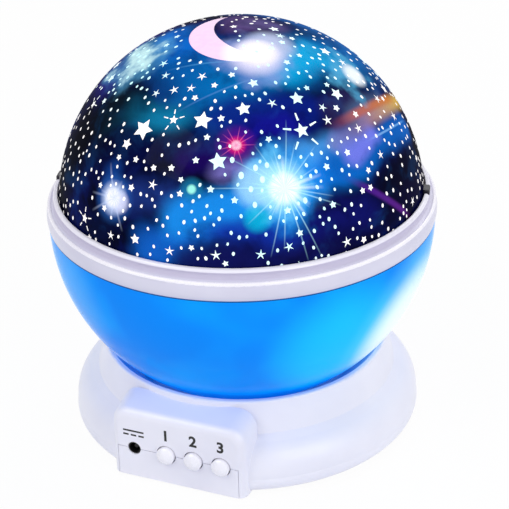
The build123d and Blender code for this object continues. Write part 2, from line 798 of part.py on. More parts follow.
# ------------------------------------------------------------ post, washer, clip and lamps
def post_screw_xs():
    spread = (post_radius + post_foot_radius) / 2
    return (-spread, spread)


def led_post():
    post = tube(post_radius, post_bore_radius, deck_z, post_top_z)
    post += tube(post_foot_radius, post_bore_radius, deck_z, washer_low)
    groove_low = bowl_floor_z + hub_height + running_gap
    post -= tube(post_radius + 1, post_radius - clip_groove, groove_low, groove_low + clip_thickness)
    for x in post_screw_xs():
        post -= disc(pilot_radius(post_screw), deck_z - 1, washer_low - blind_end, x, 0)
    return post


def post_screws():
    length = washer_low - blind_end - head_gap - deck_low
    return Compound([screw_up(post_screw, length, x, 0, deck_low) for x in post_screw_xs()])


def thrust_washer():
    return tube(post_foot_radius, post_radius + screw_gap, washer_low, washer_top)


def retaining_clip():
    low = bowl_floor_z + hub_height + running_gap
    clip = tube(clip_radius, post_radius - clip_groove + screw_gap, low, low + clip_thickness)
    slot_z = (low - 1, low + clip_thickness + 1)
    return clip - block((0, clip_radius + 1), (-clip_slot / 2, clip_slot / 2), slot_z)


def lamp_holder():
    sleeve_outer = post_radius + holder_sleeve_wall
    holder = disc(holder_radius, post_top_z, holder_z)
    holder += tube(holder_radius, holder_radius - holder_wall, holder_z, holder_z + holder_rim)
    holder += tube(sleeve_outer, post_radius + screw_gap, post_top_z - holder_sleeve, post_top_z)
    return holder - disc(post_bore_radius, post_top_z - 1, holder_z + 1)


def led_board():
    radius = holder_radius - holder_wall - seat_gap
    return disc(radius, holder_z, led_z)


def led(x, y):
    barrel_top = led_z + led_height - led_radius
    lamp = disc(led_radius + led_flange, led_z, led_z + 1, x, y)
    lamp += disc(led_radius, led_z, barrel_top, x, y)
    return lamp + Pos(x, y, barrel_top) * Sphere(led_radius)


# ------------------------------------------------------------ motor
def motor_screw_xs():
    spread = (motor_radius + motor_ear_reach) / 2 + 0.5
    return (-spread, spread)


def drive_motor():
    y = gear_distance
    motor = disc(motor_radius, deck_low - motor_height, deck_low, 0, y)
    ear_low = deck_low - motor_ear_thickness
    half = motor_ear_width / 2
    ear_x = (-motor_ear_reach + half, motor_ear_reach - half)
    motor += block(ear_x, (y - half, y + half), (ear_low, deck_low))
    for side in (-1, 1):
        motor += disc(half, ear_low, deck_low, side * (motor_ear_reach - half), y)
    for x in motor_screw_xs():
        motor -= disc(pilot_radius(motor_screw), ear_low - 1, deck_low + 1, x, y)
    shaft_hole = motor_shaft_radius + bearing_gap
    return motor - disc(shaft_hole, deck_low - shaft_entry - running_gap, deck_low + 1, 0, y)


def motor_screws():
    seat_z = deck_low - motor_ear_thickness
    spots = [(x, gear_distance) for x in motor_screw_xs()]
    return Compound([screw_up(motor_screw, motor_screw_length, x, y, seat_z) for x, y in spots])


# ------------------------------------------------------------ control board, switches, jack, buttons
def control_board():
    z_span = (bottom_top, bottom_top + board_height)
    return block((-board_half_width, board_half_width), (board_y, board_y + board_thickness), z_span)


def tact_switch(x):
    half = switch_size / 2
    body = block((x - half, x + half), (switch_front_y, board_y), (parting_z - half, parting_z + half))
    bore_end = switch_front_y + switch_bore_depth
    return body - rod_y(button_stem_radius + running_gap, switch_front_y - 1, bore_end, x, parting_z)


def dc_jack():
    half_width = jack_width / 2
    half_height = jack_height / 2
    x_span = (jack_x - half_width, jack_x + half_width)
    jack = block(x_span, (panel_inner_y, board_y), (parting_z - half_height, parting_z + half_height))
    nose_front = panel_y + jack_recess
    jack += rod_y(jack_hole_radius - seat_gap, nose_front, panel_inner_y, jack_x, parting_z)
    depth = board_y - jack_back
    jack -= rod_y(jack_bore_radius, nose_front - 1, depth, jack_x, parting_z)
    return jack + rod_y(jack_pin_radius, nose_front + jack_pin_set, depth, jack_x, parting_z)


def button(x):
    """Cap, retaining flange and stem, turned about the button's own axis."""
    face = panel_y
    flange_front = panel_inner_y + running_gap
    flange_back = flange_front + button_flange
    tip = switch_front_y + stem_entry
    shoulder = face - button_proud
    crown = (button_crown ** 2 + button_radius ** 2) / (2 * button_crown)
    top = shoulder - button_crown
    half_angle = asin(button_radius / crown) / 2
    through = (crown * sin(half_angle), shoulder - button_crown + crown * (1 - cos(half_angle)))
    outline = [
        Line((0, tip), (0, top)),
        ThreePointArc((0, top), through, (button_radius, shoulder)),
        Line((button_radius, shoulder), (button_radius, flange_front)),
        Line((button_radius, flange_front), (button_flange_radius, flange_front)),
        Line((button_flange_radius, flange_front), (button_flange_radius, flange_back)),
        Line((button_flange_radius, flange_back), (button_stem_radius, flange_back)),
        Line((button_stem_radius, flange_back), (button_stem_radius, tip)),
        Line((button_stem_radius, tip), (0, tip)),
    ]
    turned = revolve(make_face(outline), Axis.Y, 360)
    return Pos(x, 0, parting_z) * turned


# ------------------------------------------------------------ leads held inside the base
def lead(points, bend):
    """Insulated wire pair along straight runs joined by bends."""
    path = FilletPolyline(*points, radius=bend)
    start = Plane(origin=path @ 0, z_dir=path % 0)
    return sweep(start * Circle(lead_radius), path=path)


def lamp_lead():
    points = [(0, 0, holder_z), (0, 0, lead_z), (0, board_y + board_thickness, lead_z)]
    return lead(points, lead_bend)


def motor_lead():
    z = deck_low - lead_drop
    side = bay_half_length + bay_wall + lead_gap
    front = board_y + board_thickness
    end_x = board_half_width - lead_inset
    points = [
        (motor_radius, gear_distance, z),
        (motor_radius + lead_run, gear_distance, z),
        (side, bay_back_y + lead_run, z),
        (side, bay_front_y - bay_wall, z),
        (end_x, front + lead_run, z),
        (end_x, front, z),
    ]
    return lead(points, lead_bend)


def battery_lead():
    front = board_y + board_thickness
    back = bay_front_y - bay_wall
    x = board_half_width / 2
    sides = (x - lead_pair_pitch / 2, x + lead_pair_pitch / 2)
    return Compound([rod_y(lead_radius, front, back, side, cell_centre_z) for side in sides])


# ------------------------------------------------------------ everything, by name
def make_parts():
    parts = {
        "star_dome": star_dome(),
        "collar_ring": collar_ring(),
        "reflector_plate": reflector_plate(),
        "reflector_screws": reflector_screws(),
        "bowl": bowl(),
        "hub_gear": hub_gear(),
        "gear_screws": gear_screws(),
        "drive_pinion": drive_pinion(),
        "motor_shaft": motor_shaft(),
        "base_housing": base_housing(),
        "base_bottom": base_bottom(),
        "base_screws": base_screws(),
        "battery_door": battery_door(),
        "door_screw": door_screw_piece(),
        "led_post": led_post(),
        "post_screws": post_screws(),
        "thrust_washer": thrust_washer(),
        "retaining_clip": retaining_clip(),
        "lamp_holder": lamp_holder(),
        "led_board": led_board(),
        "drive_motor": drive_motor(),
        "motor_screws": motor_screws(),
        "control_board": control_board(),
        "dc_jack": dc_jack(),
        "lamp_lead": lamp_lead(),
        "motor_lead": motor_lead(),
        "battery_lead": battery_lead(),
        "contact_left_front": contact(-1, (0, 1)),
        "contact_left_back": contact(-1, (2, 3)),
        "contact_right_front": contact(1, (0,)),
        "contact_right_middle": contact(1, (1, 2)),
        "contact_right_back": contact(1, (3,)),
    }
    led_names = ("led_white", "led_blue", "led_green", "led_red")
    for name, (x, y) in zip(led_names, around(led_count, led_circle, 45)):
        parts[name] = led(x, y)
    for i in range(button_count):
        x = first_button_x + button_pitch * i
        parts[f"button_{i + 1}"] = button(x)
        parts[f"tact_switch_{i + 1}"] = tact_switch(x)
    for i in range(cell_count):
        parts[f"battery_cell_{i + 1}"] = battery_cell(i)
    for i, (x, y) in enumerate(four_corners(foot_x, foot_y)):
        parts[f"rubber_foot_{i + 1}"] = rubber_foot(x, y)
    return parts


os.makedirs("parts", exist_ok=True)
for node, shape in make_parts().items():
    export_step(shape, f"parts/{node}.step")
    print(node, round(shape.volume, 1))
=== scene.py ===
"""Star night light projector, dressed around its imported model. Metres, +Z up, the panel faces -Y."""

import math
import random

import bmesh
import bpy
import numpy as np
from mathutils import Matrix, Vector


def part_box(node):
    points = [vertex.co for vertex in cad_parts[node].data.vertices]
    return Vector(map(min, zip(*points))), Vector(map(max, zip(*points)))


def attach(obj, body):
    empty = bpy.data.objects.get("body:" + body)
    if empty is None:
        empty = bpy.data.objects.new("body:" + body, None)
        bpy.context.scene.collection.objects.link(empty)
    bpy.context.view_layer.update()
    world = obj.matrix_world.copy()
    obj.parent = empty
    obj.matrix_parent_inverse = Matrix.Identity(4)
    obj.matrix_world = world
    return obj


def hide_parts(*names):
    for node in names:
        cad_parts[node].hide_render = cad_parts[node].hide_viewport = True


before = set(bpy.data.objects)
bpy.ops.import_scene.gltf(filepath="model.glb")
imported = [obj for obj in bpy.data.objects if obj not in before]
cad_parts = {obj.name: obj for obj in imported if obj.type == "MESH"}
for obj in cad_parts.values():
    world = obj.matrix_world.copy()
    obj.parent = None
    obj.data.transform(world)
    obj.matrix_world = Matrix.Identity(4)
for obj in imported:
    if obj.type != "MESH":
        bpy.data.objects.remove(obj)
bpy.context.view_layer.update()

MM = 0.001
TURN = 2 * math.pi
SQUARE = ((-1, -1), (1, -1), (1, 1), (-1, 1))      # signs of a square's corners, in order round it


# ------------------------------------------------------------ places taken from the frame
def node_box(name):
    """Lowest and highest corner of a CAD node."""
    low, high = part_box(name)
    return Vector(low), Vector(high)


dome_low, dome_high = node_box("star_dome")
ring_high = node_box("collar_ring")[1]
bowl_high = node_box("bowl")[1]
base_high = node_box("base_housing")[1]
bottom_low = node_box("base_bottom")[0]
button_boxes = [node_box(f"button_{i}") for i in (1, 2, 3)]
jack_low, jack_high = node_box("dc_jack")

dome_radius = dome_high.y
dome_centre = Vector((0, 0, dome_high.z - dome_radius))
panel_y = bottom_low.y
parting_z = (button_boxes[0][0].z + button_boxes[0][1].z) / 2
jack_x = (jack_low.x + jack_high.x) / 2

# ------------------------------------------------------------ camera
camera_azimuth = math.radians(24.0)
camera_elevation = math.radians(27.2)
camera_roll = math.radians(-1.5)
camera_distance = 0.600
camera_aim_height = 0.060
camera_lens = 129.9
camera_sensor = 36.0
aim_right = 3.6 * MM       # the view's centre lies this far right of and below the aim point
aim_down = 3.7 * MM


def make_camera():
    """Camera at the photograph's angle, with a slight roll."""
    data = bpy.data.cameras.new("camera")
    data.lens = camera_lens
    data.sensor_width = camera_sensor
    camera = bpy.data.objects.new("camera", data)
    bpy.context.scene.collection.objects.link(camera)
    sine = math.sin(camera_azimuth)
    cosine = math.cos(camera_azimuth)
    flat = math.cos(camera_elevation)
    right = Vector((cosine, sine, 0))
    back = Vector((sine * flat, -cosine * flat, math.sin(camera_elevation)))
    up = back.cross(right)
    axis_point = Vector((0, 0, camera_aim_height))
    place = axis_point + back * camera_distance
    aim = axis_point + right * aim_right - up * aim_down
    level = (aim - place).normalized().to_track_quat("-Z", "Y")
    camera.rotation_mode = "QUATERNION"
    camera.rotation_quaternion = level @ Matrix.Rotation(camera_roll, 4, "Z").to_quaternion()
    camera.location = place
    bpy.context.scene.camera = camera


# ------------------------------------------------------------ material graphs
drift_scale = 35.0         # slow change of tone in moulded plastic
grain_scale = 2600.0       # and its fine surface grain
grain_depth = 0.02 * MM


def linear(red, green, blue):
    """Screen colour, 0 to 255, as a linear RGBA colour."""
    def channel(value):
        share = value / 255
        return share / 12.92 if share <= 0.04045 else ((share + 0.055) / 1.055) ** 2.4
    return (channel(red), channel(green), channel(blue), 1.0)


class Graph:
    """Short calls for building one material's nodes."""

    def __init__(self, name):
        self.material = bpy.data.materials.new(name)
        self.material.use_nodes = True
        self.tree = self.material.node_tree
        self.tree.nodes.clear()
        self.output = self.tree.nodes.new("ShaderNodeOutputMaterial")

    def node(self, kind, values=None, **settings):
        made = self.tree.nodes.new(kind)
        for key, value in settings.items():
            setattr(made, key, value)
        for key, value in (values or {}).items():
            self.feed(made.inputs[key], value)
        return made

    def feed(self, socket, value):
        if isinstance(value, bpy.types.NodeSocket):
            self.tree.links.new(value, socket)
        else:
            socket.default_value = value

    def math(self, operation, first, second=0.0, clamp=False):
        made = self.node("ShaderNodeMath", operation=operation, use_clamp=clamp)
        self.feed(made.inputs[0], first)
        self.feed(made.inputs[1], second)
        return made.outputs[0]

    def vector(self, operation, first, second=(0, 0, 0)):
        made = self.node("ShaderNodeVectorMath", operation=operation)
        self.feed(made.inputs[0], first)
        self.feed(made.inputs[1], second)
        return made.outputs["Value" if operation == "DOT_PRODUCT" else "Vector"]

    def scaled(self, vector, factor):
        made = self.node("ShaderNodeVectorMath", operation="SCALE")
        self.feed(made.inputs[0], vector)
        self.feed(made.inputs["Scale"], factor)
        return made.outputs["Vector"]

    def mix(self, factor, first, second, blend="MIX"):
        """Blends two colours; 0, 6, 7 and output 2 are the Mix node's colour sockets."""
        made = self.node("ShaderNodeMix", data_type="RGBA", blend_type=blend)
        self.feed(made.inputs[0], factor)
        self.feed(made.inputs[6], first)
        self.feed(made.inputs[7], second)
        return made.outputs[2]

    def ramp(self, value, low, high, to_low=0.0, to_high=1.0):
        made = self.node("ShaderNodeMapRange", interpolation_type="SMOOTHSTEP")
        for index, given in enumerate((value, low, high, to_low, to_high)):
            self.feed(made.inputs[index], given)
        return made.outputs[0]

    def noise(self, place, scale, detail=2.0, roughness=0.5, distortion=0.0):
        return self.node("ShaderNodeTexNoise", {"Vector": place, "Scale": scale, "Detail": detail,
                                                "Roughness": roughness, "Distortion": distortion})

    def place(self):
        return self.node("ShaderNodeTexCoord").outputs["Object"]

    def bump(self, height, strength, distance):
        made = self.node("ShaderNodeBump", {"Strength": strength, "Distance": distance})
        self.feed(made.inputs["Height"], height)
        return made.outputs["Normal"]

    def principled(self, **values):
        made = self.node("ShaderNodeBsdfPrincipled")
        for key, value in values.items():
            self.feed(made.inputs[key.replace("_", " ")], value)
        self.tree.links.new(made.outputs["BSDF"], self.output.inputs["Surface"])
        return made


def moulded(name, colour, shade, roughness, grain=0.06, coat=0.0):
    """Moulded plastic: slight tone drift, fine grain in its gloss and surface."""
    g = Graph(name)
    place = g.place()
    drift = g.noise(place, drift_scale, 3.0).outputs["Fac"]
    tone = g.mix(g.ramp(drift, 0.35, 0.7), colour, shade)
    fine = g.noise(place, grain_scale, 2.0).outputs["Fac"]
    rough = g.ramp(fine, 0.2, 0.8, roughness * 0.85, roughness * 1.2)
    made = g.principled(Base_Color=tone, Roughness=rough, IOR=1.5, Coat_Weight=coat, Coat_Roughness=0.08)
    g.feed(made.inputs["Normal"], g.bump(fine, grain, grain_depth))
    return g.material


def metal(name, colour, roughness, streak=900.0):
    """Drawn or plated metal with fine streaks."""
    g = Graph(name)
    place = g.place()
    stretched = g.vector("MULTIPLY", place, (1.0, 1.0, 0.08))
    streaks = g.noise(stretched, streak, 3.0, 0.6).outputs["Fac"]
    tone = g.mix(streaks, colour, tuple(c * 0.8 for c in colour[:3]) + (1.0,))
    rough = g.ramp(streaks, 0.3, 0.7, roughness * 0.8, roughness * 1.3)
    g.principled(Base_Color=tone, Roughness=rough, Metallic=1.0)
    return g.material


def lamp_lens(name, colour):
    """Cast resin lamp lens with a faint glow in its body."""
    g = Graph(name)
    clouds = g.noise(g.place(), 300.0, 2.0).outputs["Fac"]
    tone = g.mix(clouds, colour, linear(255, 255, 255))
    g.principled(Base_Color=tone, Roughness=0.08, IOR=1.54, Transmission_Weight=0.35,
                 Emission_Color=tone, Emission_Strength=0.35)
    return g.material


def circuit_board(name):
    """Solder mask with darker tracks under it."""
    g = Graph(name)
    place = g.place()
    tracks = g.node("ShaderNodeTexVoronoi", {"Vector": place, "Scale": 420.0}, feature="DISTANCE_TO_EDGE",
                    distance="MANHATTAN")
    line = g.ramp(tracks.outputs["Distance"], 0.02, 0.08)
    tone = g.mix(line, linear(34, 120, 62), linear(16, 84, 40))
    made = g.principled(Base_Color=tone, Roughness=0.35, IOR=1.5)
    g.feed(made.inputs["Normal"], g.bump(line, 0.2, 0.05 * MM))
    return g.material


# ------------------------------------------------------------ mesh helpers
round_segments = 256       # round the turning axis
axis_radius = 1e-7         # a profile point nearer the axis than this is a single point on it
weld_distance = 1e-6


def new_object(name, bm, material, body, smooth_angle=None):
    """Finishes a bmesh as an object that rides on a body."""
    bmesh.ops.recalc_face_normals(bm, faces=bm.faces)
    mesh = bpy.data.meshes.new(name)
    bm.to_mesh(mesh)
    bm.free()
    if smooth_angle is not None:
        mesh.shade_smooth()
        mesh.set_sharp_from_angle(angle=math.radians(smooth_angle))
    mesh.materials.append(material)
    made = bpy.data.objects.new(name, mesh)
    bpy.context.scene.collection.objects.link(made)
    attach(made, body)
    return made


def lathe(bm, profile, segments):
    """Turns a closed profile of (radius, height) points about Z."""
    rings = []
    for radius, height in profile:
        if radius < axis_radius:
            rings.append([bm.verts.new((0, 0, height))])
            continue
        angles = [TURN * i / segments for i in range(segments)]
        rings.append([bm.verts.new((radius * math.cos(a), radius * math.sin(a), height)) for a in angles])
    for first, second in zip(rings, rings[1:] + rings[:1]):
        if len(first) == 1 and len(second) == 1:
            continue
        for i in range(segments):
            j = (i + 1) % segments
            inner = [first[i % len(first)], first[j % len(first)]]
            outer = [second[j % len(second)], second[i % len(second)]]
            bm.faces.new(list(dict.fromkeys(inner + outer)))


def arc(centre, radius, start, end, steps):
    """Points of an arc in the profile plane; angles in degrees."""
    points = []
    for i in range(steps + 1):
        a = math.radians(start + (end - start) * i / steps)
        points.append((centre[0] + radius * math.cos(a), centre[1] + radius * math.sin(a)))
    return points


def prism(bm, outline, low, high, place):
    """Closed prism over a star-shaped outline; place maps (x, y, height) to space."""
    top_centre = bm.verts.new(place(0, 0, high))
    low_centre = bm.verts.new(place(0, 0, low))
    top = [bm.verts.new(place(x, y, high)) for x, y in outline]
    bottom = [bm.verts.new(place(x, y, low)) for x, y in outline]
    for i in range(len(outline)):
        j = (i + 1) % len(outline)
        bm.faces.new((top_centre, top[i], top[j]))
        bm.faces.new((low_centre, bottom[j], bottom[i]))
        bm.faces.new((top[i], bottom[i], bottom[j], top[j]))


# ------------------------------------------------------------ the night sky print
def direction(azimuth, elevation):
    """Unit vector from the dome's centre. Azimuth 0 faces -Y and turns towards +X."""
    a = math.radians(azimuth)
    e = math.radians(elevation)
    return Vector((math.sin(a) * math.cos(e), -math.cos(a) * math.cos(e), math.sin(e)))


sky_bend = 0.2             # how far the swirls shift the soft bands, as a share of the dome's radius
glow_bend = 0.07           # and the wide glows
# soft bands: two ends as azimuth and elevation, inner and outer half-width in degrees, colour, strength
sky_bands = [
    (-55, 66, 15, 61, 3, 18, linear(2, 88, 164), 0.97),
    (-66, 70, -44, 70, 1, 11, linear(4, 106, 206), 0.85),
    (15, 61, 108, 57, 2, 17, linear(2, 104, 172), 0.95),
    (54, 65, 92, 63, 1, 10, linear(4, 166, 220), 0.85),
    (18, 49, 52, 49, 2, 11, linear(6, 28, 122), 0.9),
    (-36, 42, -8, 47, 1, 10, linear(12, 124, 166), 0.9),
    (-30, 33, 8, 40, 1, 9, linear(0, 4, 50), 0.9),
    (6, 36, 20, 41, 1, 7, linear(24, 2, 84), 0.85),
    (28, 44, 44, 43, 1, 8, linear(16, 14, 136), 0.85),
    (-12, 22, 4, 26, 1, 9, linear(26, 50, 122), 0.8),
    (-22, 33, -22, 36, 1, 7, linear(2, 12, 56), 0.85),
    (-3, 8, 20, 18, 2, 11, linear(14, 92, 188), 0.95),
    (6, 20, 38, 25, 2, 11, linear(22, 134, 222), 0.95),
    (38, 27, 66, 32, 1, 11, linear(8, 118, 218), 0.95),
    (42, 37, 60, 35.5, 1, 6.5, linear(72, 152, 222), 0.75),
    (60, 31, 104, 28, 1, 8, linear(8, 92, 180), 0.95),
    (19, 35, 29, 34, 0.5, 5.5, linear(126, 118, 196), 0.75),
    (22, 13, 44, 15, 1, 8, linear(14, 46, 160), 0.8),
    (8, 5, 56, 8, 1, 8, linear(12, 14, 78), 0.85),
    (54, 14, 110, 9, 2, 13, linear(3, 2, 38), 0.95),
    (46, 15, 66, 15, 1, 10, linear(12, 16, 98), 0.85),
    (74, 19, 112, 17, 1, 8, linear(2, 3, 26), 0.85),
    (-58, 12, -40, 42, 3, 19, linear(1, 4, 18), 0.97),
    (-28, 6, -22, 14, 1, 9, linear(1, 9, 42), 0.85),
    (-23, 27, -20, 21, 1, 5.5, linear(12, 60, 136), 0.75),
    (66, 46, 82, 46, 1, 8, linear(38, 32, 74), 0.8),
    (62, 37, 80, 39, 0.5, 4.5, linear(122, 118, 178), 0.65),
    (74, 42.5, 98, 41, 0.5, 5, linear(74, 94, 128), 0.65),
    (66, 33.5, 78, 34.5, 0.5, 5, linear(116, 122, 228), 0.85),
    (120, 88, 200, 84, 1, 9, linear(88, 66, 124), 0.9),
    (118, 79, 140, 84, 1, 8, linear(96, 84, 136), 0.8),
    (130, 52, 200, 60, 3, 20, linear(8, 96, 172), 0.9),
    (136, 22, 168, 36, 3, 15, linear(18, 112, 214), 0.95),
    (176, 20, 204, 38, 2, 14, linear(36, 30, 150), 0.85),
    (196, 8, 236, 10, 2, 12, linear(5, 6, 34), 0.9),
    (228, 22, 262, 36, 3, 15, linear(16, 104, 208), 0.95),
    (238, 52, 290, 50, 2, 14, linear(40, 36, 140), 0.8),
]
# fine streaks: two ends, inner and outer half-width, colours at both ends, strength
sky_streaks = [
    (57, 37, 134, 24, 0.4, 4.2, linear(136, 98, 150), linear(224, 184, 40), 0.95),
    (52, 40, 122, 31, 0.3, 2.4, linear(170, 80, 96), linear(212, 130, 30), 0.85),
    (54, 30, 90, 1, 0.2, 1.6, linear(80, 34, 160), linear(112, 40, 150), 0.62),
    (69, 33.5, 112, 27, 0.12, 0.5, linear(150, 200, 245), linear(110, 180, 235), 0.6),
    (-36, 56, 66, 62, 0.1, 0.5, linear(90, 170, 225), linear(90, 180, 230), 0.35),
    (-12, 44, 47, 63, 0.1, 0.45, linear(70, 120, 200), linear(110, 170, 225), 0.35),
    (212, 24, 236, 44, 0.3, 2.0, linear(70, 30, 140), linear(120, 40, 150), 0.8),
]
wide_glow = 10.0           # glows with a larger outer angle have uneven edges
# round painted glows, the lamps inside shining through the print: azimuth, elevation, inner and outer angle,
# colour, strength
sky_painted_glows = [
    (36, 28, 1, 16, linear(30, 146, 232), 0.8),
    (35, 28.5, 0.5, 11.5, linear(104, 200, 240), 0.62),
    (29, 29, 0.5, 8, linear(176, 218, 244), 0.6),
    (37, 28, 0.5, 9, linear(176, 238, 255), 0.8),
    (37.9, 27.4, 0.8, 5.6, linear(255, 255, 255), 1.0),
    (28.5, 19.5, 0.5, 5, linear(0, 190, 215), 0.6),
    (22.5, 40.8, 0.4, 7, linear(96, 14, 140), 0.65),
    (22.5, 40.8, 0.3, 3.3, linear(222, 22, 112), 0.9),
    (22.5, 40.8, 0.2, 1.8, linear(255, 222, 236), 1.0),
    (41, 71.5, 2, 15, linear(130, 152, 214), 0.7),
    (64, 75, 1, 9.5, linear(196, 204, 232), 0.8),
    (41, 71.5, 1.5, 10, linear(234, 228, 250), 0.9),
    (44, 73, 1, 7.5, linear(252, 248, 255), 1.0),
    (96, 52, 1, 11, linear(84, 176, 218), 0.7),
    (97.5, 51, 0.6, 5.5, linear(244, 252, 255), 0.95),
    (-61, 57, 2, 16, linear(84, 160, 205), 0.75),
    (-62, 56.5, 1, 11, linear(208, 246, 246), 0.9),
    (-20, 20, 0.5, 8.5, linear(44, 104, 190), 0.65),
    (-20, 20, 0.5, 6, linear(206, 222, 252), 0.85),
    (-17, 19.6, 0.3, 4, linear(226, 226, 252), 0.7),
    (-20.4, 20.2, 0.3, 3.8, linear(255, 255, 255), 1.0),
    (7.7, 27.6, 0.4, 4.2, linear(24, 130, 170), 0.6),
    (7.7, 27.6, 0.4, 1.7, linear(160, 255, 230), 0.95),
    (150, 34, 1, 16, linear(30, 160, 250), 0.8),
    (150, 34, 0.8, 6, linear(255, 255, 255), 1.0),
    (262, 36, 1, 15, linear(40, 140, 245), 0.8),
    (262, 36, 0.6, 5, linear(240, 250, 255), 1.0),
    (206, 46, 0.3, 6, linear(190, 26, 130), 0.8),
    (206, 46, 0.2, 1.8, linear(255, 215, 235), 1.0),
]
far_side_fade = 0.2        # bands and rays end at the dome's far side over this much
least_ray = 0.35           # shortest ray, as a share of the reach
ray_lean = (0.2, 0.8)      # where a ray may lie in its own sector, 0 to 1
ray_fade = 0.8             # power of a ray's fading along its length
# painted light rays round the bright points: azimuth, elevation, how many rays, reach and half-width in
# degrees, colour, strength
sky_painted_rays = [
    (37.9, 27.4, 27, 25, 0.32, linear(180, 240, 255), 0.9),
    (37.9, 27.4, 16, 13, 0.8, linear(236, 254, 255), 0.85),
    (22.5, 40.8, 15, 6, 0.22, linear(255, 110, 170), 0.8),
    (-19.6, 20.3, 13, 11, 0.6, linear(206, 222, 255), 0.6),
    (150, 34, 23, 17, 0.28, linear(190, 245, 255), 0.8),
    (262, 36, 19, 14, 0.25, linear(200, 230, 255), 0.7),
    (206, 46, 17, 7, 0.18, linear(255, 130, 190), 0.8),
]


def glow(g, outward, spec):
    """How much of one soft round patch lies at a point."""
    azimuth, elevation, inner, outer = spec[:4]
    near = g.vector("DOT_PRODUCT", outward, tuple(direction(azimuth, elevation)))
    return g.ramp(near, math.cos(math.radians(outer)), math.cos(math.radians(inner)))


def band(g, outward, spec):
    """How much of one soft band lies at a point, and how far along it the point is, 0 to 1."""
    azimuth_1, elevation_1, azimuth_2, elevation_2, inner, outer = spec[:6]
    first = direction(azimuth_1, elevation_1)
    last = direction(azimuth_2, elevation_2)
    middle = (first + last).normalized()
    normal = first.cross(last).normalized()
    half = math.sin(first.angle(last) / 2)
    across = g.vector("DOT_PRODUCT", outward, tuple(normal))
    along = g.vector("DOT_PRODUCT", outward, tuple(normal.cross(middle)))
    past = g.math("MAXIMUM", g.math("SUBTRACT", g.math("ABSOLUTE", along), half), 0.0)
    away = g.math("SQRT", g.math("ADD", g.math("POWER", across, 2.0), g.math("POWER", past, 2.0)))
    share = g.ramp(away, math.sin(math.radians(inner)), math.sin(math.radians(outer)), 1.0, 0.0)
    front = g.ramp(g.vector("DOT_PRODUCT", outward, tuple(middle)), 0.0, far_side_fade)
    return g.math("MULTIPLY", share, front), g.ramp(along, -half, half)


def rays(g, outward, spec):
    """Painted light: thin straight rays of uneven length that spread from a bright point and fade out."""
    azimuth, elevation, count, reach, width = spec[:5]
    centre = direction(azimuth, elevation)
    side = Vector((0, 0, 1)).cross(centre).normalized()
    across = g.vector("DOT_PRODUCT", outward, tuple(side))
    along = g.vector("DOT_PRODUCT", outward, tuple(centre.cross(side)))
    away = g.math("SQRT", g.math("ADD", g.math("POWER", across, 2.0), g.math("POWER", along, 2.0)))
    around = g.math("MULTIPLY", g.math("ADD", g.math("ARCTAN2", along, across), math.pi), count / TURN)
    cell = g.math("FLOOR", around)
    ray_number = g.math("ADD", cell, azimuth)
    chance = g.node("ShaderNodeTexWhiteNoise", {"W": ray_number}, noise_dimensions="1D").outputs
    lean = g.ramp(chance["Value"], 0.0, 1.0, *ray_lean)
    off = g.math("ABSOLUTE", g.math("SUBTRACT", g.math("SUBTRACT", around, cell), lean))
    gap = g.math("MULTIPLY", g.math("MULTIPLY", off, TURN / count), away)
    thin = g.ramp(gap, 0.0, math.radians(width), 1.0, 0.0)
    other = g.node("ShaderNodeSeparateColor", {"Color": chance["Color"]}).outputs["Green"]
    length = g.math("MULTIPLY", g.ramp(other, 0.0, 1.0, least_ray, 1.0), math.radians(reach))
    fade = g.math("SUBTRACT", 1.0, g.math("DIVIDE", away, length), clamp=True)
    front = g.ramp(g.vector("DOT_PRODUCT", outward, tuple(centre)), 0.0, far_side_fade)
    return g.math("MULTIPLY", g.math("MULTIPLY", thin, front), g.math("POWER", fade, ray_fade))


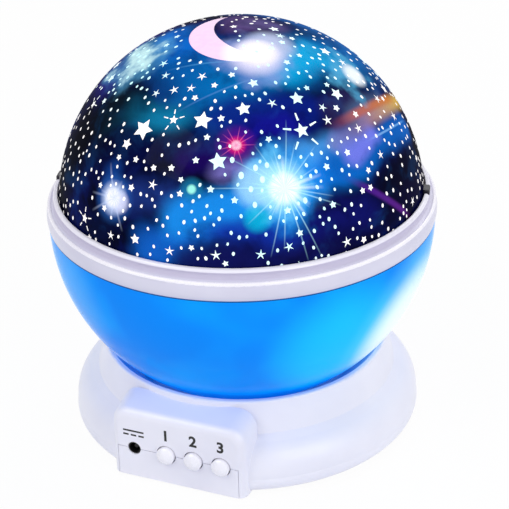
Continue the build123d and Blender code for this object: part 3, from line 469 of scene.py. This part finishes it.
def night_sky():
    """Dark blue print with drifting nebula bands, and painted light: bright glows of the lamps inside shining
    through, their rays and a faint glow over the whole print.
    """
    g = Graph("night_sky")
    outward = g.vector("NORMALIZE", g.vector("SUBTRACT", g.place(), tuple(dome_centre)))
    swirl = g.noise(outward, 2.8, 2.5, 0.5).outputs["Color"]
    bent = g.vector("ADD", outward, g.scaled(g.vector("SUBTRACT", swirl, (0.5, 0.5, 0.5)), sky_bend))
    wisps = g.noise(bent, 5.0, 4.0, 0.55, 0.3).outputs["Fac"]
    sky = g.mix(g.ramp(wisps, 0.35, 0.7), linear(1, 4, 36), linear(4, 16, 84))
    for spec in sky_bands:
        share, _ = band(g, bent, spec)
        sky = g.mix(g.math("MULTIPLY", share, spec[7]), sky, spec[6])
    sky = g.mix(g.ramp(wisps, 0.3, 0.5, 0.5, 0.0), sky, g.mix(1.0, sky, linear(110, 110, 150), "MULTIPLY"))
    sky = g.mix(g.ramp(wisps, 0.52, 0.75, 0.0, 0.3), sky, g.mix(1.0, sky, linear(14, 66, 112), "ADD"))
    for spec in sky_streaks:
        share, along = band(g, outward, spec)
        ends = g.math("MULTIPLY", g.ramp(along, 0.0, 0.3), g.ramp(along, 0.8, 1.0, 1.0, 0.0))
        share = g.math("MULTIPLY", share, g.math("MULTIPLY", ends, spec[8]))
        sky = g.mix(share, sky, g.mix(along, spec[6], spec[7]))
    curls = g.noise(outward, 7.0, 3.0, 0.5).outputs["Color"]
    uneven = g.vector("ADD", outward, g.scaled(g.vector("SUBTRACT", curls, (0.5, 0.5, 0.5)), glow_bend))
    # painted glows of the lamps inside, seen through the print
    for spec in sky_painted_glows:
        place = uneven if spec[3] > wide_glow else outward
        sky = g.mix(g.math("MULTIPLY", glow(g, place, spec), spec[5]), sky, spec[4])
    # painted light rays
    for spec in sky_painted_rays:
        sky = g.mix(g.math("MULTIPLY", rays(g, outward, spec), spec[6]), sky, spec[5])
    speck = g.noise(outward, 420.0, 1.0).outputs["Fac"]
    sky = g.mix(g.ramp(speck, 0.35, 0.75, 0.0, 0.3), sky, g.mix(1.0, sky, linear(150, 150, 190), "MULTIPLY"))
    # painted glow: the whole print gives off a little light
    g.principled(Base_Color=sky, Roughness=0.3, IOR=1.5, Specular_IOR_Level=0.0, Coat_Weight=0.045,
                 Coat_Roughness=0.06, Emission_Color=sky, Emission_Strength=0.16)
    return g.material


# where the ink takes a painted light tint from the glows behind it, on the stars and on the crescent:
# azimuth, elevation, inner and outer angle
painted_light_patches = ((34, 26, 2, 34), (60, 66, 2, 26), (-50, 60, 2, 24), (150, 36, 2, 30), (258, 36, 2, 30))
crown_painted_glow = ((43, 72.5, 6, 12),)


def star_ink(name, colour, painted_light_tint, strength, grainy, patches):
    """Clear windows in the print, with a painted glow for the light from behind and a painted light tint
    where the sky is brightest.
    """
    g = Graph(name)
    outward = g.vector("NORMALIZE", g.vector("SUBTRACT", g.place(), tuple(dome_centre)))
    share = 0.0
    for patch in patches:
        share = g.math("MAXIMUM", share, glow(g, outward, patch))
    tone = g.mix(share, colour, painted_light_tint)
    grain = g.noise(g.place(), 500.0, 1.0).outputs["Fac"]
    tone = g.mix(g.ramp(grain, 0.3, 0.7, 0.0, grainy), tone, linear(255, 255, 255))
    # painted glow: emission for the light shining through from behind
    g.principled(Base_Color=tone, Roughness=0.35, Emission_Color=tone, Emission_Strength=strength)
    return g.material


# ------------------------------------------------------------ the white ring
bead_radius = 0.7 * MM
bead_inset = 1.05 * MM     # bead's centre inside the ring's widest part
bead_drop = 4.1 * MM       # and under its top edge
painted_shade_drop = 3.7 * MM     # lower edge of the painted shade in the hollow band, under the ring's top edge
painted_shade_fade = 0.7 * MM
painted_highlight_drop = 1.3 * MM        # lower edge of the painted highlight on the rim
painted_highlight_fade = 0.6 * MM
foot_painted_shade_height = 1.6 * MM       # height of the painted shade over the bowl's edge


def ring_white():
    """White plastic with painted shade, darker in the hollow band under the rim and along the lower edge, and
    a painted highlight on the top rim.
    """
    g = Graph("ring_white")
    place = g.place()
    height = g.node("ShaderNodeSeparateXYZ", {"Vector": place}).outputs["Z"]
    drift = g.noise(place, drift_scale, 3.0).outputs["Fac"]
    tone = g.mix(g.ramp(drift, 0.35, 0.7), linear(214, 213, 232), linear(207, 206, 227))
    # mask of the painted shade in the hollow band under the rim
    hollow = g.ramp(height, ring_high.z - painted_shade_drop, ring_high.z - painted_shade_drop + painted_shade_fade)
    # painted highlight on the top rim
    rim = g.ramp(height, ring_high.z - painted_highlight_drop, ring_high.z - painted_highlight_drop + painted_highlight_fade)
    tone = g.mix(rim, tone, linear(236, 234, 248))
    rim = g.math("SUBTRACT", 1.0, rim)
    # painted shade in the hollow band, kept off the rim
    tone = g.mix(g.math("MULTIPLY", hollow, rim), tone, linear(198, 193, 218))
    # painted shade along the lower edge, over the bowl
    foot = g.ramp(height, bowl_high.z, bowl_high.z + foot_painted_shade_height, 0.7, 0.0)
    tone = g.mix(foot, tone, linear(196, 197, 222))
    fine = g.noise(place, grain_scale, 2.0).outputs["Fac"]
    rough = g.ramp(fine, 0.2, 0.8, 0.27, 0.38)
    made = g.principled(Base_Color=tone, Roughness=rough, IOR=1.5, Coat_Weight=0.25, Coat_Roughness=0.08)
    g.feed(made.inputs["Normal"], g.bump(fine, 0.06, grain_depth))
    return g.material


def make_bead(material):
    """Fine rounded bead on the ring's shoulder, between its two bands."""
    centre = (ring_high.x - bead_inset, ring_high.z - bead_drop)
    steps = 24
    bm = bmesh.new()
    lathe(bm, arc(centre, bead_radius, 0, 360 - 360 / steps, steps - 1), round_segments)
    new_object("ring_bead", bm, material, "head", 60)


# ------------------------------------------------------------ the blue bowl
painted_shadow_height = 0.7 * MM    # painted shadow line under the ring
glow_low = 1.0 * MM        # over the collar, where the bowl's painted glow is strongest
glow_high = 7.0 * MM       # and where it has faded
# painted light on the bowl, glows of the lamps inside shining through and one painted reflection: azimuth,
# elevation, inner and outer angle, colour, strength
bowl_painted_glows = [
    (54, -22, 3, 26, linear(20, 194, 250), 0.75),
    (90, -26, 6, 32, linear(110, 210, 255), 0.8),
    (86, -26, 3, 23, linear(238, 251, 255), 0.92),
    # painted reflection of the pale surroundings on the left side
    (-44, -14, 2, 24, linear(96, 178, 244), 0.5),
    (176, -24, 3, 34, linear(30, 195, 255), 0.6),
    (290, -22, 3, 34, linear(30, 195, 255), 0.5),
]


def blue_glass():
    """Glossy azure plastic with painted light, where emission and bright patches stand in for the lamps
    inside shining through it.
    """
    g = Graph("azure_shell")
    place = g.place()
    outward = g.vector("NORMALIZE", g.vector("SUBTRACT", place, (0.0, 0.0, bowl_high.z)))
    clouds = g.noise(outward, 2.2, 2.0).outputs["Fac"]
    tone = g.mix(g.ramp(clouds, 0.35, 0.7), linear(0, 130, 238), linear(0, 150, 248))
    # painted light patches on the bowl
    for spec in bowl_painted_glows:
        tone = g.mix(g.math("MULTIPLY", glow(g, outward, spec), spec[5]), tone, spec[4])
    height = g.node("ShaderNodeSeparateXYZ", {"Vector": place}).outputs["Z"]
    # painted shadow line under the ring
    painted_shadow_line = g.ramp(height, bowl_high.z - painted_shadow_height, bowl_high.z - painted_shadow_height / 2, 0.0, 0.9)
    tone = g.mix(painted_shadow_line, tone, linear(20, 60, 120))
    fine = g.noise(place, 1500.0, 2.0).outputs["Fac"]
    # painted glow, strongest over the collar, where it lifts the shade
    under = g.ramp(height, base_high.z + glow_low, base_high.z + glow_high, 0.3, 0.16)
    made = g.principled(Base_Color=tone, Roughness=0.12, IOR=1.5, Specular_IOR_Level=0.01, Coat_Weight=0.12,
                        Coat_Roughness=0.05, Emission_Color=tone, Emission_Strength=under)
    g.feed(made.inputs["Normal"], g.bump(fine, 0.03, 0.01 * MM))
    return g.material


# ------------------------------------------------------------ stars on the dome
print_height = 0.05 * MM   # how far the motifs stand over the dome's face
print_depth = 0.05 * MM    # and reach into it
sky_floor = 0.035          # lowest motif, as the sine of its elevation
crescent_azimuth = 34.2    # this and the next two in degrees
crescent_elevation = 84.9
crescent_turn = 12.3
crescent_radius = 16.2 * MM
crescent_shift = 0.665     # centre of the hollow side's circle, as a share of the radius
crescent_hollow = 1.11     # radius of that circle, as a share of the radius
rayed_inner = 0.45         # a rayed star's inner radius, as a share of its size
stroke_half_width = 0.13   # its strokes, also as shares of its size
stroke_half_length = 0.5
stroke_taper = 0.7         # width of a stroke's outer end, as a share of its inner end
stroke_middle = 1.8        # from the star's centre
low_stroke_middle = 2.05   # the two lower strokes stand further out
rayed_reach = 2.4          # room that a rayed star takes
dot_points = 10
dot_stretch = 0.16         # how much taller than round a dot is, and how much narrower


def on_dome(towards, turn):
    """Function that lays a flat drawing on the dome, centred on a direction."""
    side = Vector((0, 0, 1)).cross(towards)
    side = side.normalized() if side.length > 1e-6 else Vector((1, 0, 0))
    upward = towards.cross(side)
    c = math.cos(turn)
    s = math.sin(turn)
    right = side * c + upward * s
    up = upward * c - side * s

    def place(x, y, height, shift=(0.0, 0.0)):
        point = towards * dome_radius + right * (x + shift[0]) + up * (y + shift[1])
        return dome_centre + point.normalized() * (dome_radius + height)
    return place


def star_outline(outer, inner, points=5):
    """Outline of a star, one tip up."""
    outline = []
    for i in range(2 * points):
        radius = outer if i % 2 == 0 else inner
        a = math.pi / 2 + math.pi * i / points
        outline.append((radius * math.cos(a), radius * math.sin(a)))
    return outline


def dot_outline(radius, points):
    """Dots stand a little taller than wide."""
    angles = [TURN * i / points for i in range(points)]
    half_width = radius * (1 - dot_stretch)
    half_height = radius * (1 + dot_stretch)
    return [(half_width * math.cos(a), half_height * math.sin(a)) for a in angles]


def lay(bm, outline, towards, turn, shift=(0.0, 0.0)):
    """One closed thin motif on the dome."""
    place = on_dome(towards, turn)
    prism(bm, outline, -print_depth, print_height, lambda x, y, h: place(x, y, h, shift))


def lay_rayed_star(bm, size, towards, turn):
    """A star with five short strokes standing off its tips."""
    lay(bm, star_outline(size, size * rayed_inner), towards, turn)
    half = size * stroke_half_width
    length = size * stroke_half_length
    for i in range(5):
        a = math.pi / 2 + TURN * i / 5
        reach = size * (low_stroke_middle if i in (2, 3) else stroke_middle)
        middle = (reach * math.cos(a), reach * math.sin(a))
        along = (math.cos(a), math.sin(a))
        corners = []
        for u, v in ((-1, -1), (1, -stroke_taper), (1, stroke_taper), (-1, 1)):
            x = along[0] * length * u - along[1] * half * v
            y = along[1] * length * u + along[0] * half * v
            corners.append((x, y))
        lay(bm, corners, towards, turn, middle)


def crescent_lines(radius, steps):
    """Outer and hollow edge of a crescent, both from tip to tip."""
    shift = crescent_shift * radius
    hollow = crescent_hollow * radius
    cut_x = (radius ** 2 - hollow ** 2 + shift ** 2) / (2 * shift)
    lines = []
    for centre, size in ((0.0, radius), (shift, hollow)):
        half = math.acos((cut_x - centre) / size)
        angles = [half + (TURN - 2 * half) * i / steps for i in range(steps + 1)]
        lines.append([(centre + size * math.cos(a), size * math.sin(a)) for a in angles])
    return lines


def make_crescent(material):
    """Pale crescent at the crown, in strips that follow the dome."""
    steps = 48
    strips = 12
    outer, hollow = crescent_lines(crescent_radius, steps)
    place = on_dome(direction(crescent_azimuth, crescent_elevation), math.radians(crescent_turn))
    bm = bmesh.new()
    sheets = []
    for height in (print_height, -print_depth):
        rows = []
        for (x0, y0), (x1, y1) in zip(outer, hollow):
            shares = [k / strips for k in range(strips + 1)]
            rows.append([bm.verts.new(place(x0 + (x1 - x0) * t, y0 + (y1 - y0) * t, height)) for t in shares])
        sheets.append(rows)
        for first, second in zip(rows, rows[1:]):
            for k in range(strips):
                bm.faces.new((first[k], first[k + 1], second[k + 1], second[k]))
    top, low = sheets
    for edge in (0, strips):
        for i in range(steps):
            bm.faces.new((top[i][edge], top[i + 1][edge], low[i + 1][edge], low[i][edge]))
    bmesh.ops.remove_doubles(bm, verts=bm.verts, dist=weld_distance)
    new_object("sky_crescent", bm, material, "dome", 40)


star_seed = 41
tries_per_motif = 60
moon_steps = 24            # places along the crescent that motifs keep clear of
moon_gap = 0.6 * MM        # kept clear round the crescent
motif_gap = 0.3 * MM       # and round each listed motif
dot_lean = 0.35            # largest turn of a dot, in radians
star_lean = math.pi / 5    # and of a star, which then points every way
# kind, how many, smallest and largest radius in mm, room left round it in mm
star_kinds = [
    ("medium", 12, 1.6, 2.0, 1.6),
    ("slim", 24, 1.3, 1.8, 1.0),
    ("small", 64, 0.95, 1.25, 1.0),
    ("dot", 940, 0.42, 0.6, 1.05),
]
# kind, azimuth, elevation in degrees, size in mm, turn in degrees
placed_motifs = [
    ("large", -17, 42, 3.5, -10), ("large", 8, 48, 3.0, 0), ("large", 16, 36, 2.8, 12),
    ("medium", 26, 52, 2.3, 8), ("medium", 53, 53, 2.3, -14), ("medium", 75, 50, 2.2, 6),
    ("medium", 101, 62, 2.0, 0), ("rayed", 49, 43, 2.5, 0), ("rayed", -5, 47, 1.5, 12),
    ("rayed", -57, 39, 1.5, 0), ("rayed", -32, 10, 1.6, 0), ("large", 128, 46, 2.9, 12),
    ("large", 172, 52, 2.7, -8), ("large", 222, 30, 3.0, 6), ("large", 276, 44, 2.8, -12),
    ("rayed", 118, 24, 2.0, 0), ("rayed", 182, 40, 2.4, 8), ("rayed", 242, 54, 2.0, -6),
    ("rayed", 288, 24, 1.8, 0), ("dot", 24, 32, 0.95, 0), ("dot", 21, 36.5, 0.8, 0),
    ("dot", 29, 34, 0.85, 0), ("dot", 31, 30.5, 0.9, 0), ("dot", 27, 28, 0.8, 0),
    ("dot", 33, 34.5, 0.75, 0), ("dot", 28, 23.5, 0.8, 0), ("dot", 44, 23, 0.8, 0),
    ("slim", -3, 58, 1.5, 10), ("slim", -24, 60, 1.5, 30), ("slim", 40, 53, 1.6, 18),
    ("slim", 63, 48, 1.5, 24), ("slim", 74, 38, 1.6, -8), ("slim", 97, 41, 1.6, 0),
    ("slim", -19, 9, 1.5, 4), ("slim", 2, 9, 1.6, 0), ("slim", 16, 9, 1.7, 6),
    ("slim", 29, 9, 1.7, -6), ("slim", 56, 8, 1.8, 4), ("slim", 92, 76, 1.6, 0),
    ("small", 10, 60, 1.1, 0), ("small", 16, 49, 1.2, 10), ("small", 11, 43, 1.1, 0),
    ("small", 8, 36, 1.15, 8), ("small", -7, 32, 1.1, 20), ("small", -15, 33, 1.1, 0),
    ("small", 4, 26, 1.1, 0), ("small", 14, 28, 1.2, 0), ("small", 35, 42, 1.1, 30),
    ("small", 64, 33, 1.2, 0), ("small", 77, 42, 1.2, 0), ("small", 54, 31, 1.2, 10),
    ("small", 53, 20, 1.2, 0), ("small", 38, 21, 1.2, 0), ("small", 65, 21, 1.1, 0),
    ("small", 41, 14, 1.2, 14), ("small", -27, 22, 1.0, 0), ("small", 62, 66, 1.2, 0),
]


def scatter():
    """Picks a spot on the dome for every motif, clear of those before it."""
    pick = random.Random(star_seed)
    spots = []
    place = on_dome(direction(crescent_azimuth, crescent_elevation), math.radians(crescent_turn))
    moon = list(zip(*crescent_lines(crescent_radius, moon_steps)))
    middles = [place((a + c) / 2, (b + d) / 2, 0) for (a, b), (c, d) in moon]
    taken = np.array([tuple((middle - dome_centre).normalized()) for middle in middles])
    rooms = np.array([math.hypot(a - c, b - d) / 2 + moon_gap for (a, b), (c, d) in moon])
    for kind, azimuth, elevation, size, turn in placed_motifs:
        towards = direction(azimuth, elevation)
        taken = np.vstack((taken, tuple(towards)))
        rooms = np.append(rooms, size * MM * (rayed_reach if kind == "rayed" else 1.0) + motif_gap)
        spots.append((kind, towards, size * MM, math.radians(turn)))
    for kind, count, least, most, room in star_kinds:
        found = 0
        for _ in range(count * tries_per_motif):
            if found == count:
                break
            height = pick.uniform(sky_floor, 1.0)
            around = pick.uniform(0, TURN)
            flat = math.sqrt(1 - height * height)
            towards = np.array((flat * math.cos(around), flat * math.sin(around), height))
            size = pick.uniform(least, most) * MM
            reach = size + room * MM / 2
            nearness = np.clip(taken @ towards, -1, 1)
            if height * dome_radius < reach or np.any(np.arccos(nearness) * dome_radius < rooms + reach):
                continue
            taken = np.vstack((taken, towards))
            rooms = np.append(rooms, reach)
            spread = dot_lean if kind == "dot" else star_lean
            spots.append((kind, Vector(towards), size, pick.uniform(-spread, spread)))
            found += 1
    return spots


def make_stars(material):
    """All motifs, as two pieces: the dots and the stars."""
    dots = bmesh.new()
    stars = bmesh.new()
    inner_share = {"large": 0.5, "medium": 0.5, "slim": 0.27, "small": 0.54}
    for kind, towards, size, turn in scatter():
        if kind == "dot":
            lay(dots, dot_outline(size, dot_points), towards, turn)
        elif kind == "rayed":
            lay_rayed_star(stars, size, towards, turn)
        else:
            lay(stars, star_outline(size, size * inner_share[kind]), towards, turn)
    new_object("sky_dots", dots, material, "dome")
    new_object("sky_stars", stars, material, "dome")


# ------------------------------------------------------------ panel markings
mark_height = 3.7 * MM
mark_depth = 0.06 * MM
mark_rise = 6.9 * MM       # from the parting line to the middle of a number
mark_bold = 0.17 * MM      # added to the strokes of the numbers
font_scale = 1.42          # font size for a digit's height
supply_rise = 5.6 * MM     # from the parting line to the middle of the supply sign
supply_width = 7.2 * MM
supply_stroke = 0.6 * MM
supply_gap = 1.5 * MM      # between the line and the dashes
supply_dash = 0.26         # a dash's length, as a share of the width


def make_numbers(material):
    """Plain numbers over the buttons, as thin raised ink."""
    for index, (low, high) in enumerate(button_boxes, start=1):
        text = bpy.data.curves.new(f"mark_{index}", "FONT")
        text.body = str(index)
        text.size = mark_height * font_scale
        text.resolution_u = 8
        text.align_x = "CENTER"
        text.align_y = "CENTER"
        text.extrude = mark_depth / 2
        text.offset = mark_bold
        text.materials.append(material)
        made = bpy.data.objects.new(f"mark_{index}", text)
        bpy.context.scene.collection.objects.link(made)
        made.rotation_euler = (math.pi / 2, 0, 0)
        made.location = ((low.x + high.x) / 2, panel_y, parting_z + mark_rise)
        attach(made, "base")


def make_supply_sign(material):
    """Direct-current sign over the power socket: a line over three dashes."""
    middle_z = parting_z + supply_rise
    dash = supply_width * supply_dash
    bars = [(0.0, supply_gap / 2, supply_width)]
    for i in (-1, 0, 1):
        bars.append((i * (supply_width - dash) / 2, -supply_gap / 2, dash))
    bm = bmesh.new()
    for x, z, length in bars:
        outline = [(u * length / 2, v * supply_stroke / 2) for u, v in SQUARE]
        prism(bm, outline, -mark_depth / 2, mark_depth / 2,
              lambda u, v, h, x=x, z=z: Vector((jack_x + x + u, panel_y - h, middle_z + z + v)))
    new_object("mark_supply", bm, material, "base")


# ------------------------------------------------------------ dome shell
dome_wall = 1.5 * MM
dome_edge_round = 0.2 * MM
dome_steps = 72            # from the equator to the crown
lug_angle = 15.0
lug_width = 4.6 * MM
lug_reach = 1.7 * MM
lug_height = 2.0 * MM
lug_drop = 1.3 * MM        # under the ring's top edge
lug_root = 1.0 * MM        # inside the dome's outer face
lug_round = 0.3 * MM


def make_dome(material):
    """Smooth dome with its skirt, in place of the CAD shell."""
    rim = dome_low.z
    inside = dome_radius - dome_wall
    outer = arc((0, dome_centre.z), dome_radius, 0, 90, dome_steps)
    inner = arc((0, dome_centre.z), inside, 90, 0, dome_steps)
    outer[-1] = (0.0, outer[-1][1])
    inner[0] = (0.0, inner[0][1])
    edge = [(inside, rim), (dome_radius - dome_edge_round, rim), (dome_radius, rim + dome_edge_round)]
    bm = bmesh.new()
    lathe(bm, edge + outer + inner, round_segments)
    made = new_object("dome_shell", bm, material, "dome", 40)
    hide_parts("star_dome")


def make_lugs(material):
    """The two ears at the dome's edge."""
    angle = math.radians(lug_angle)
    low = ring_high.z - lug_drop
    inside = dome_radius - lug_root
    outside = dome_radius + lug_reach
    for index in (0, 1):
        bm = bmesh.new()
        bmesh.ops.create_cube(bm, size=1.0)
        spin = Matrix.Rotation(angle + math.pi * index, 4, "Z")
        middle = Vector(((inside + outside) / 2, 0, low + lug_height / 2))
        size = Matrix.Diagonal((outside - inside, lug_width, lug_height, 1.0))
        bmesh.ops.transform(bm, matrix=spin @ Matrix.Translation(middle) @ size, verts=bm.verts)
        bmesh.ops.bevel(bm, geom=bm.edges[:], offset=lug_round, segments=3, affect="EDGES")
        new_object(f"dome_lug_{index + 1}", bm, material, "dome", 50)


# ------------------------------------------------------------ materials on the CAD pieces
def paint(material, *names):
    """Gives CAD nodes a finish."""
    for name in names:
        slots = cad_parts[name].data.materials
        slots.clear()
        slots.append(material)


def paint_nodes():
    """Finishes of all the CAD pieces but the dome, which the scene's own shell replaces."""
    base_white = moulded("base_white", linear(235, 235, 247), linear(229, 229, 243), 0.38, coat=0.15)
    inner = moulded("inner_white", linear(236, 236, 238), linear(226, 226, 230), 0.5)
    acetal = moulded("acetal", linear(238, 236, 224), linear(228, 225, 210), 0.42)
    black = moulded("black_plastic", linear(14, 14, 16), linear(24, 24, 28), 0.4)
    cap = moulded("button_cap", linear(244, 243, 250), linear(238, 237, 246), 0.25, coat=0.5)
    rubber = moulded("foot_rubber", linear(205, 205, 212), linear(190, 190, 198), 0.75, grain=0.2)
    skin = moulded("wire_skin", linear(190, 30, 24), linear(160, 20, 18), 0.45)
    jacket = moulded("cell_jacket", linear(40, 44, 54), linear(52, 58, 70), 0.3, coat=0.6)
    steel = metal("bright_steel", linear(205, 207, 212), 0.28)
    can = metal("motor_can", linear(176, 178, 184), 0.34)
    contact = metal("contact_metal", linear(215, 214, 208), 0.2)
    board = circuit_board("solder_mask")
    paint(ring_white(), "collar_ring")
    paint(base_white, "base_housing", "base_bottom", "battery_door")
    paint(inner, "reflector_plate", "lamp_holder", "led_post")
    paint(acetal, "hub_gear", "drive_pinion", "thrust_washer")
    paint(black, "dc_jack", "tact_switch_1", "tact_switch_2", "tact_switch_3")
    paint(cap, "button_1", "button_2", "button_3")
    paint(rubber, *[f"rubber_foot_{i}" for i in (1, 2, 3, 4)])
    paint(skin, "lamp_lead", "motor_lead", "battery_lead")
    paint(jacket, *[f"battery_cell_{i}" for i in (1, 2, 3, 4)])
    paint(steel, "retaining_clip", "motor_shaft", "reflector_screws", "gear_screws", "post_screws",
          "motor_screws", "base_screws", "door_screw")
    paint(can, "drive_motor")
    paint(contact, "contact_left_front", "contact_left_back", "contact_right_front", "contact_right_middle",
          "contact_right_back")
    paint(board, "led_board", "control_board")
    paint(lamp_lens("lens_white", linear(250, 250, 240)), "led_white")
    paint(lamp_lens("lens_blue", linear(60, 110, 255)), "led_blue")
    paint(lamp_lens("lens_green", linear(60, 230, 110)), "led_green")
    paint(lamp_lens("lens_red", linear(245, 60, 50)), "led_red")
    paint(blue_glass(), "bowl")


# ------------------------------------------------------------ floor, sky and lamps
floor_half = 3.0           # metres
floor_drop = 0.02 * MM     # the floor lies this far under the feet
floor_seen = 0.95          # how white the camera and mirrors see the floor
world_light = 0.55         # the world's strength as a light
lamp_aim_height = 0.07     # metres


def seen_share(g, share):
    """A share for what the camera, mirrors and glass see, and none for the rest."""
    path = g.node("ShaderNodeLightPath")
    seen = g.math("MAXIMUM", path.outputs["Is Camera Ray"], path.outputs["Is Glossy Ray"])
    seen = g.math("MAXIMUM", seen, path.outputs["Is Transmission Ray"])
    return g.math("MULTIPLY", seen, share)


def make_floor():
    """White table top that keeps a soft shadow."""
    bm = bmesh.new()
    corners = [bm.verts.new((x * floor_half, y * floor_half, -floor_drop)) for x, y in SQUARE]
    bm.faces.new(corners)
    mesh = bpy.data.meshes.new("floor")
    bm.to_mesh(mesh)
    bm.free()
    floor = bpy.data.objects.new("floor", mesh)
    bpy.context.scene.collection.objects.link(floor)
    g = Graph("floor_white")
    diffuse = g.node("ShaderNodeBsdfDiffuse", {"Color": (0.9, 0.9, 0.92, 1.0)}).outputs[0]
    light = g.node("ShaderNodeEmission", {"Color": (1.0, 1.0, 1.0, 1.0), "Strength": 1.0}).outputs[0]
    mixer = g.node("ShaderNodeMixShader", {0: seen_share(g, floor_seen), 1: diffuse, 2: light})
    g.tree.links.new(mixer.outputs[0], g.output.inputs["Surface"])
    mesh.materials.append(g.material)


def make_world():
    """White to the camera and to reflections, softer as a light."""
    world = bpy.data.worlds.new("studio")
    bpy.context.scene.world = world
    world.use_nodes = True
    tree = world.node_tree
    tree.nodes.clear()
    output = tree.nodes.new("ShaderNodeOutputWorld")
    path = tree.nodes.new("ShaderNodeLightPath")
    seen = tree.nodes.new("ShaderNodeMath")
    seen.operation = "MAXIMUM"
    tree.links.new(path.outputs["Is Camera Ray"], seen.inputs[0])
    tree.links.new(path.outputs["Is Glossy Ray"], seen.inputs[1])
    through = tree.nodes.new("ShaderNodeMath")
    through.operation = "MAXIMUM"
    tree.links.new(seen.outputs[0], through.inputs[0])
    tree.links.new(path.outputs["Is Transmission Ray"], through.inputs[1])
    strength = tree.nodes.new("ShaderNodeMapRange")
    strength.inputs["To Min"].default_value = world_light
    strength.inputs["To Max"].default_value = 1.0
    tree.links.new(through.outputs[0], strength.inputs["Value"])
    light = tree.nodes.new("ShaderNodeBackground")
    light.inputs["Color"].default_value = (1.0, 1.0, 1.0, 1.0)
    tree.links.new(strength.outputs[0], light.inputs["Strength"])
    tree.links.new(light.outputs[0], output.inputs["Surface"])


def make_lamp(name, place, size, power):
    """Soft square lamp that points at the object."""
    data = bpy.data.lights.new(name, "AREA")
    data.shape = "SQUARE"
    data.size = size
    data.energy = power
    lamp = bpy.data.objects.new(name, data)
    bpy.context.scene.collection.objects.link(lamp)
    lamp.location = place
    aim = Vector((0, 0, lamp_aim_height)) - Vector(place)
    lamp.rotation_euler = aim.to_track_quat("-Z", "Y").to_euler()


def make_lamps():
    """Three soft lamps; places and sizes in metres, powers in watts."""
    make_lamp("key", (-0.55, -0.75, 0.95), 0.6, 4.7)
    make_lamp("fill", (0.95, -0.45, 0.6), 0.7, 4.8)
    make_lamp("back", (0.1, 0.9, 0.8), 0.6, 3.0)


# ------------------------------------------------------------ the scene
bpy.context.scene.view_settings.view_transform = "Standard"
make_camera()
paint_nodes()
sky_material = night_sky()
make_dome(sky_material)
make_lugs(moulded("dome_edge", linear(22, 20, 34), linear(30, 28, 44), 0.35))
# painted highlight: the bead is a brighter white than the ring's plastic
make_bead(moulded("bead_painted_highlight", linear(248, 246, 255), linear(242, 240, 252), 0.28, coat=0.3))
# painted glow and painted light tint on the stars and the crescent
make_stars(star_ink("star_white", linear(255, 250, 248), linear(190, 246, 252), strength=0.3, grainy=0.2,
                    patches=painted_light_patches))
make_crescent(star_ink("moon_pink", linear(240, 204, 238), linear(252, 246, 255), strength=0.14, grainy=0.1,
                       patches=crown_painted_glow))
ink = moulded("panel_ink", linear(16, 16, 18), linear(26, 26, 30), 0.5)
make_numbers(ink)
make_supply_sign(ink)
make_floor()
make_world()
make_lamps()
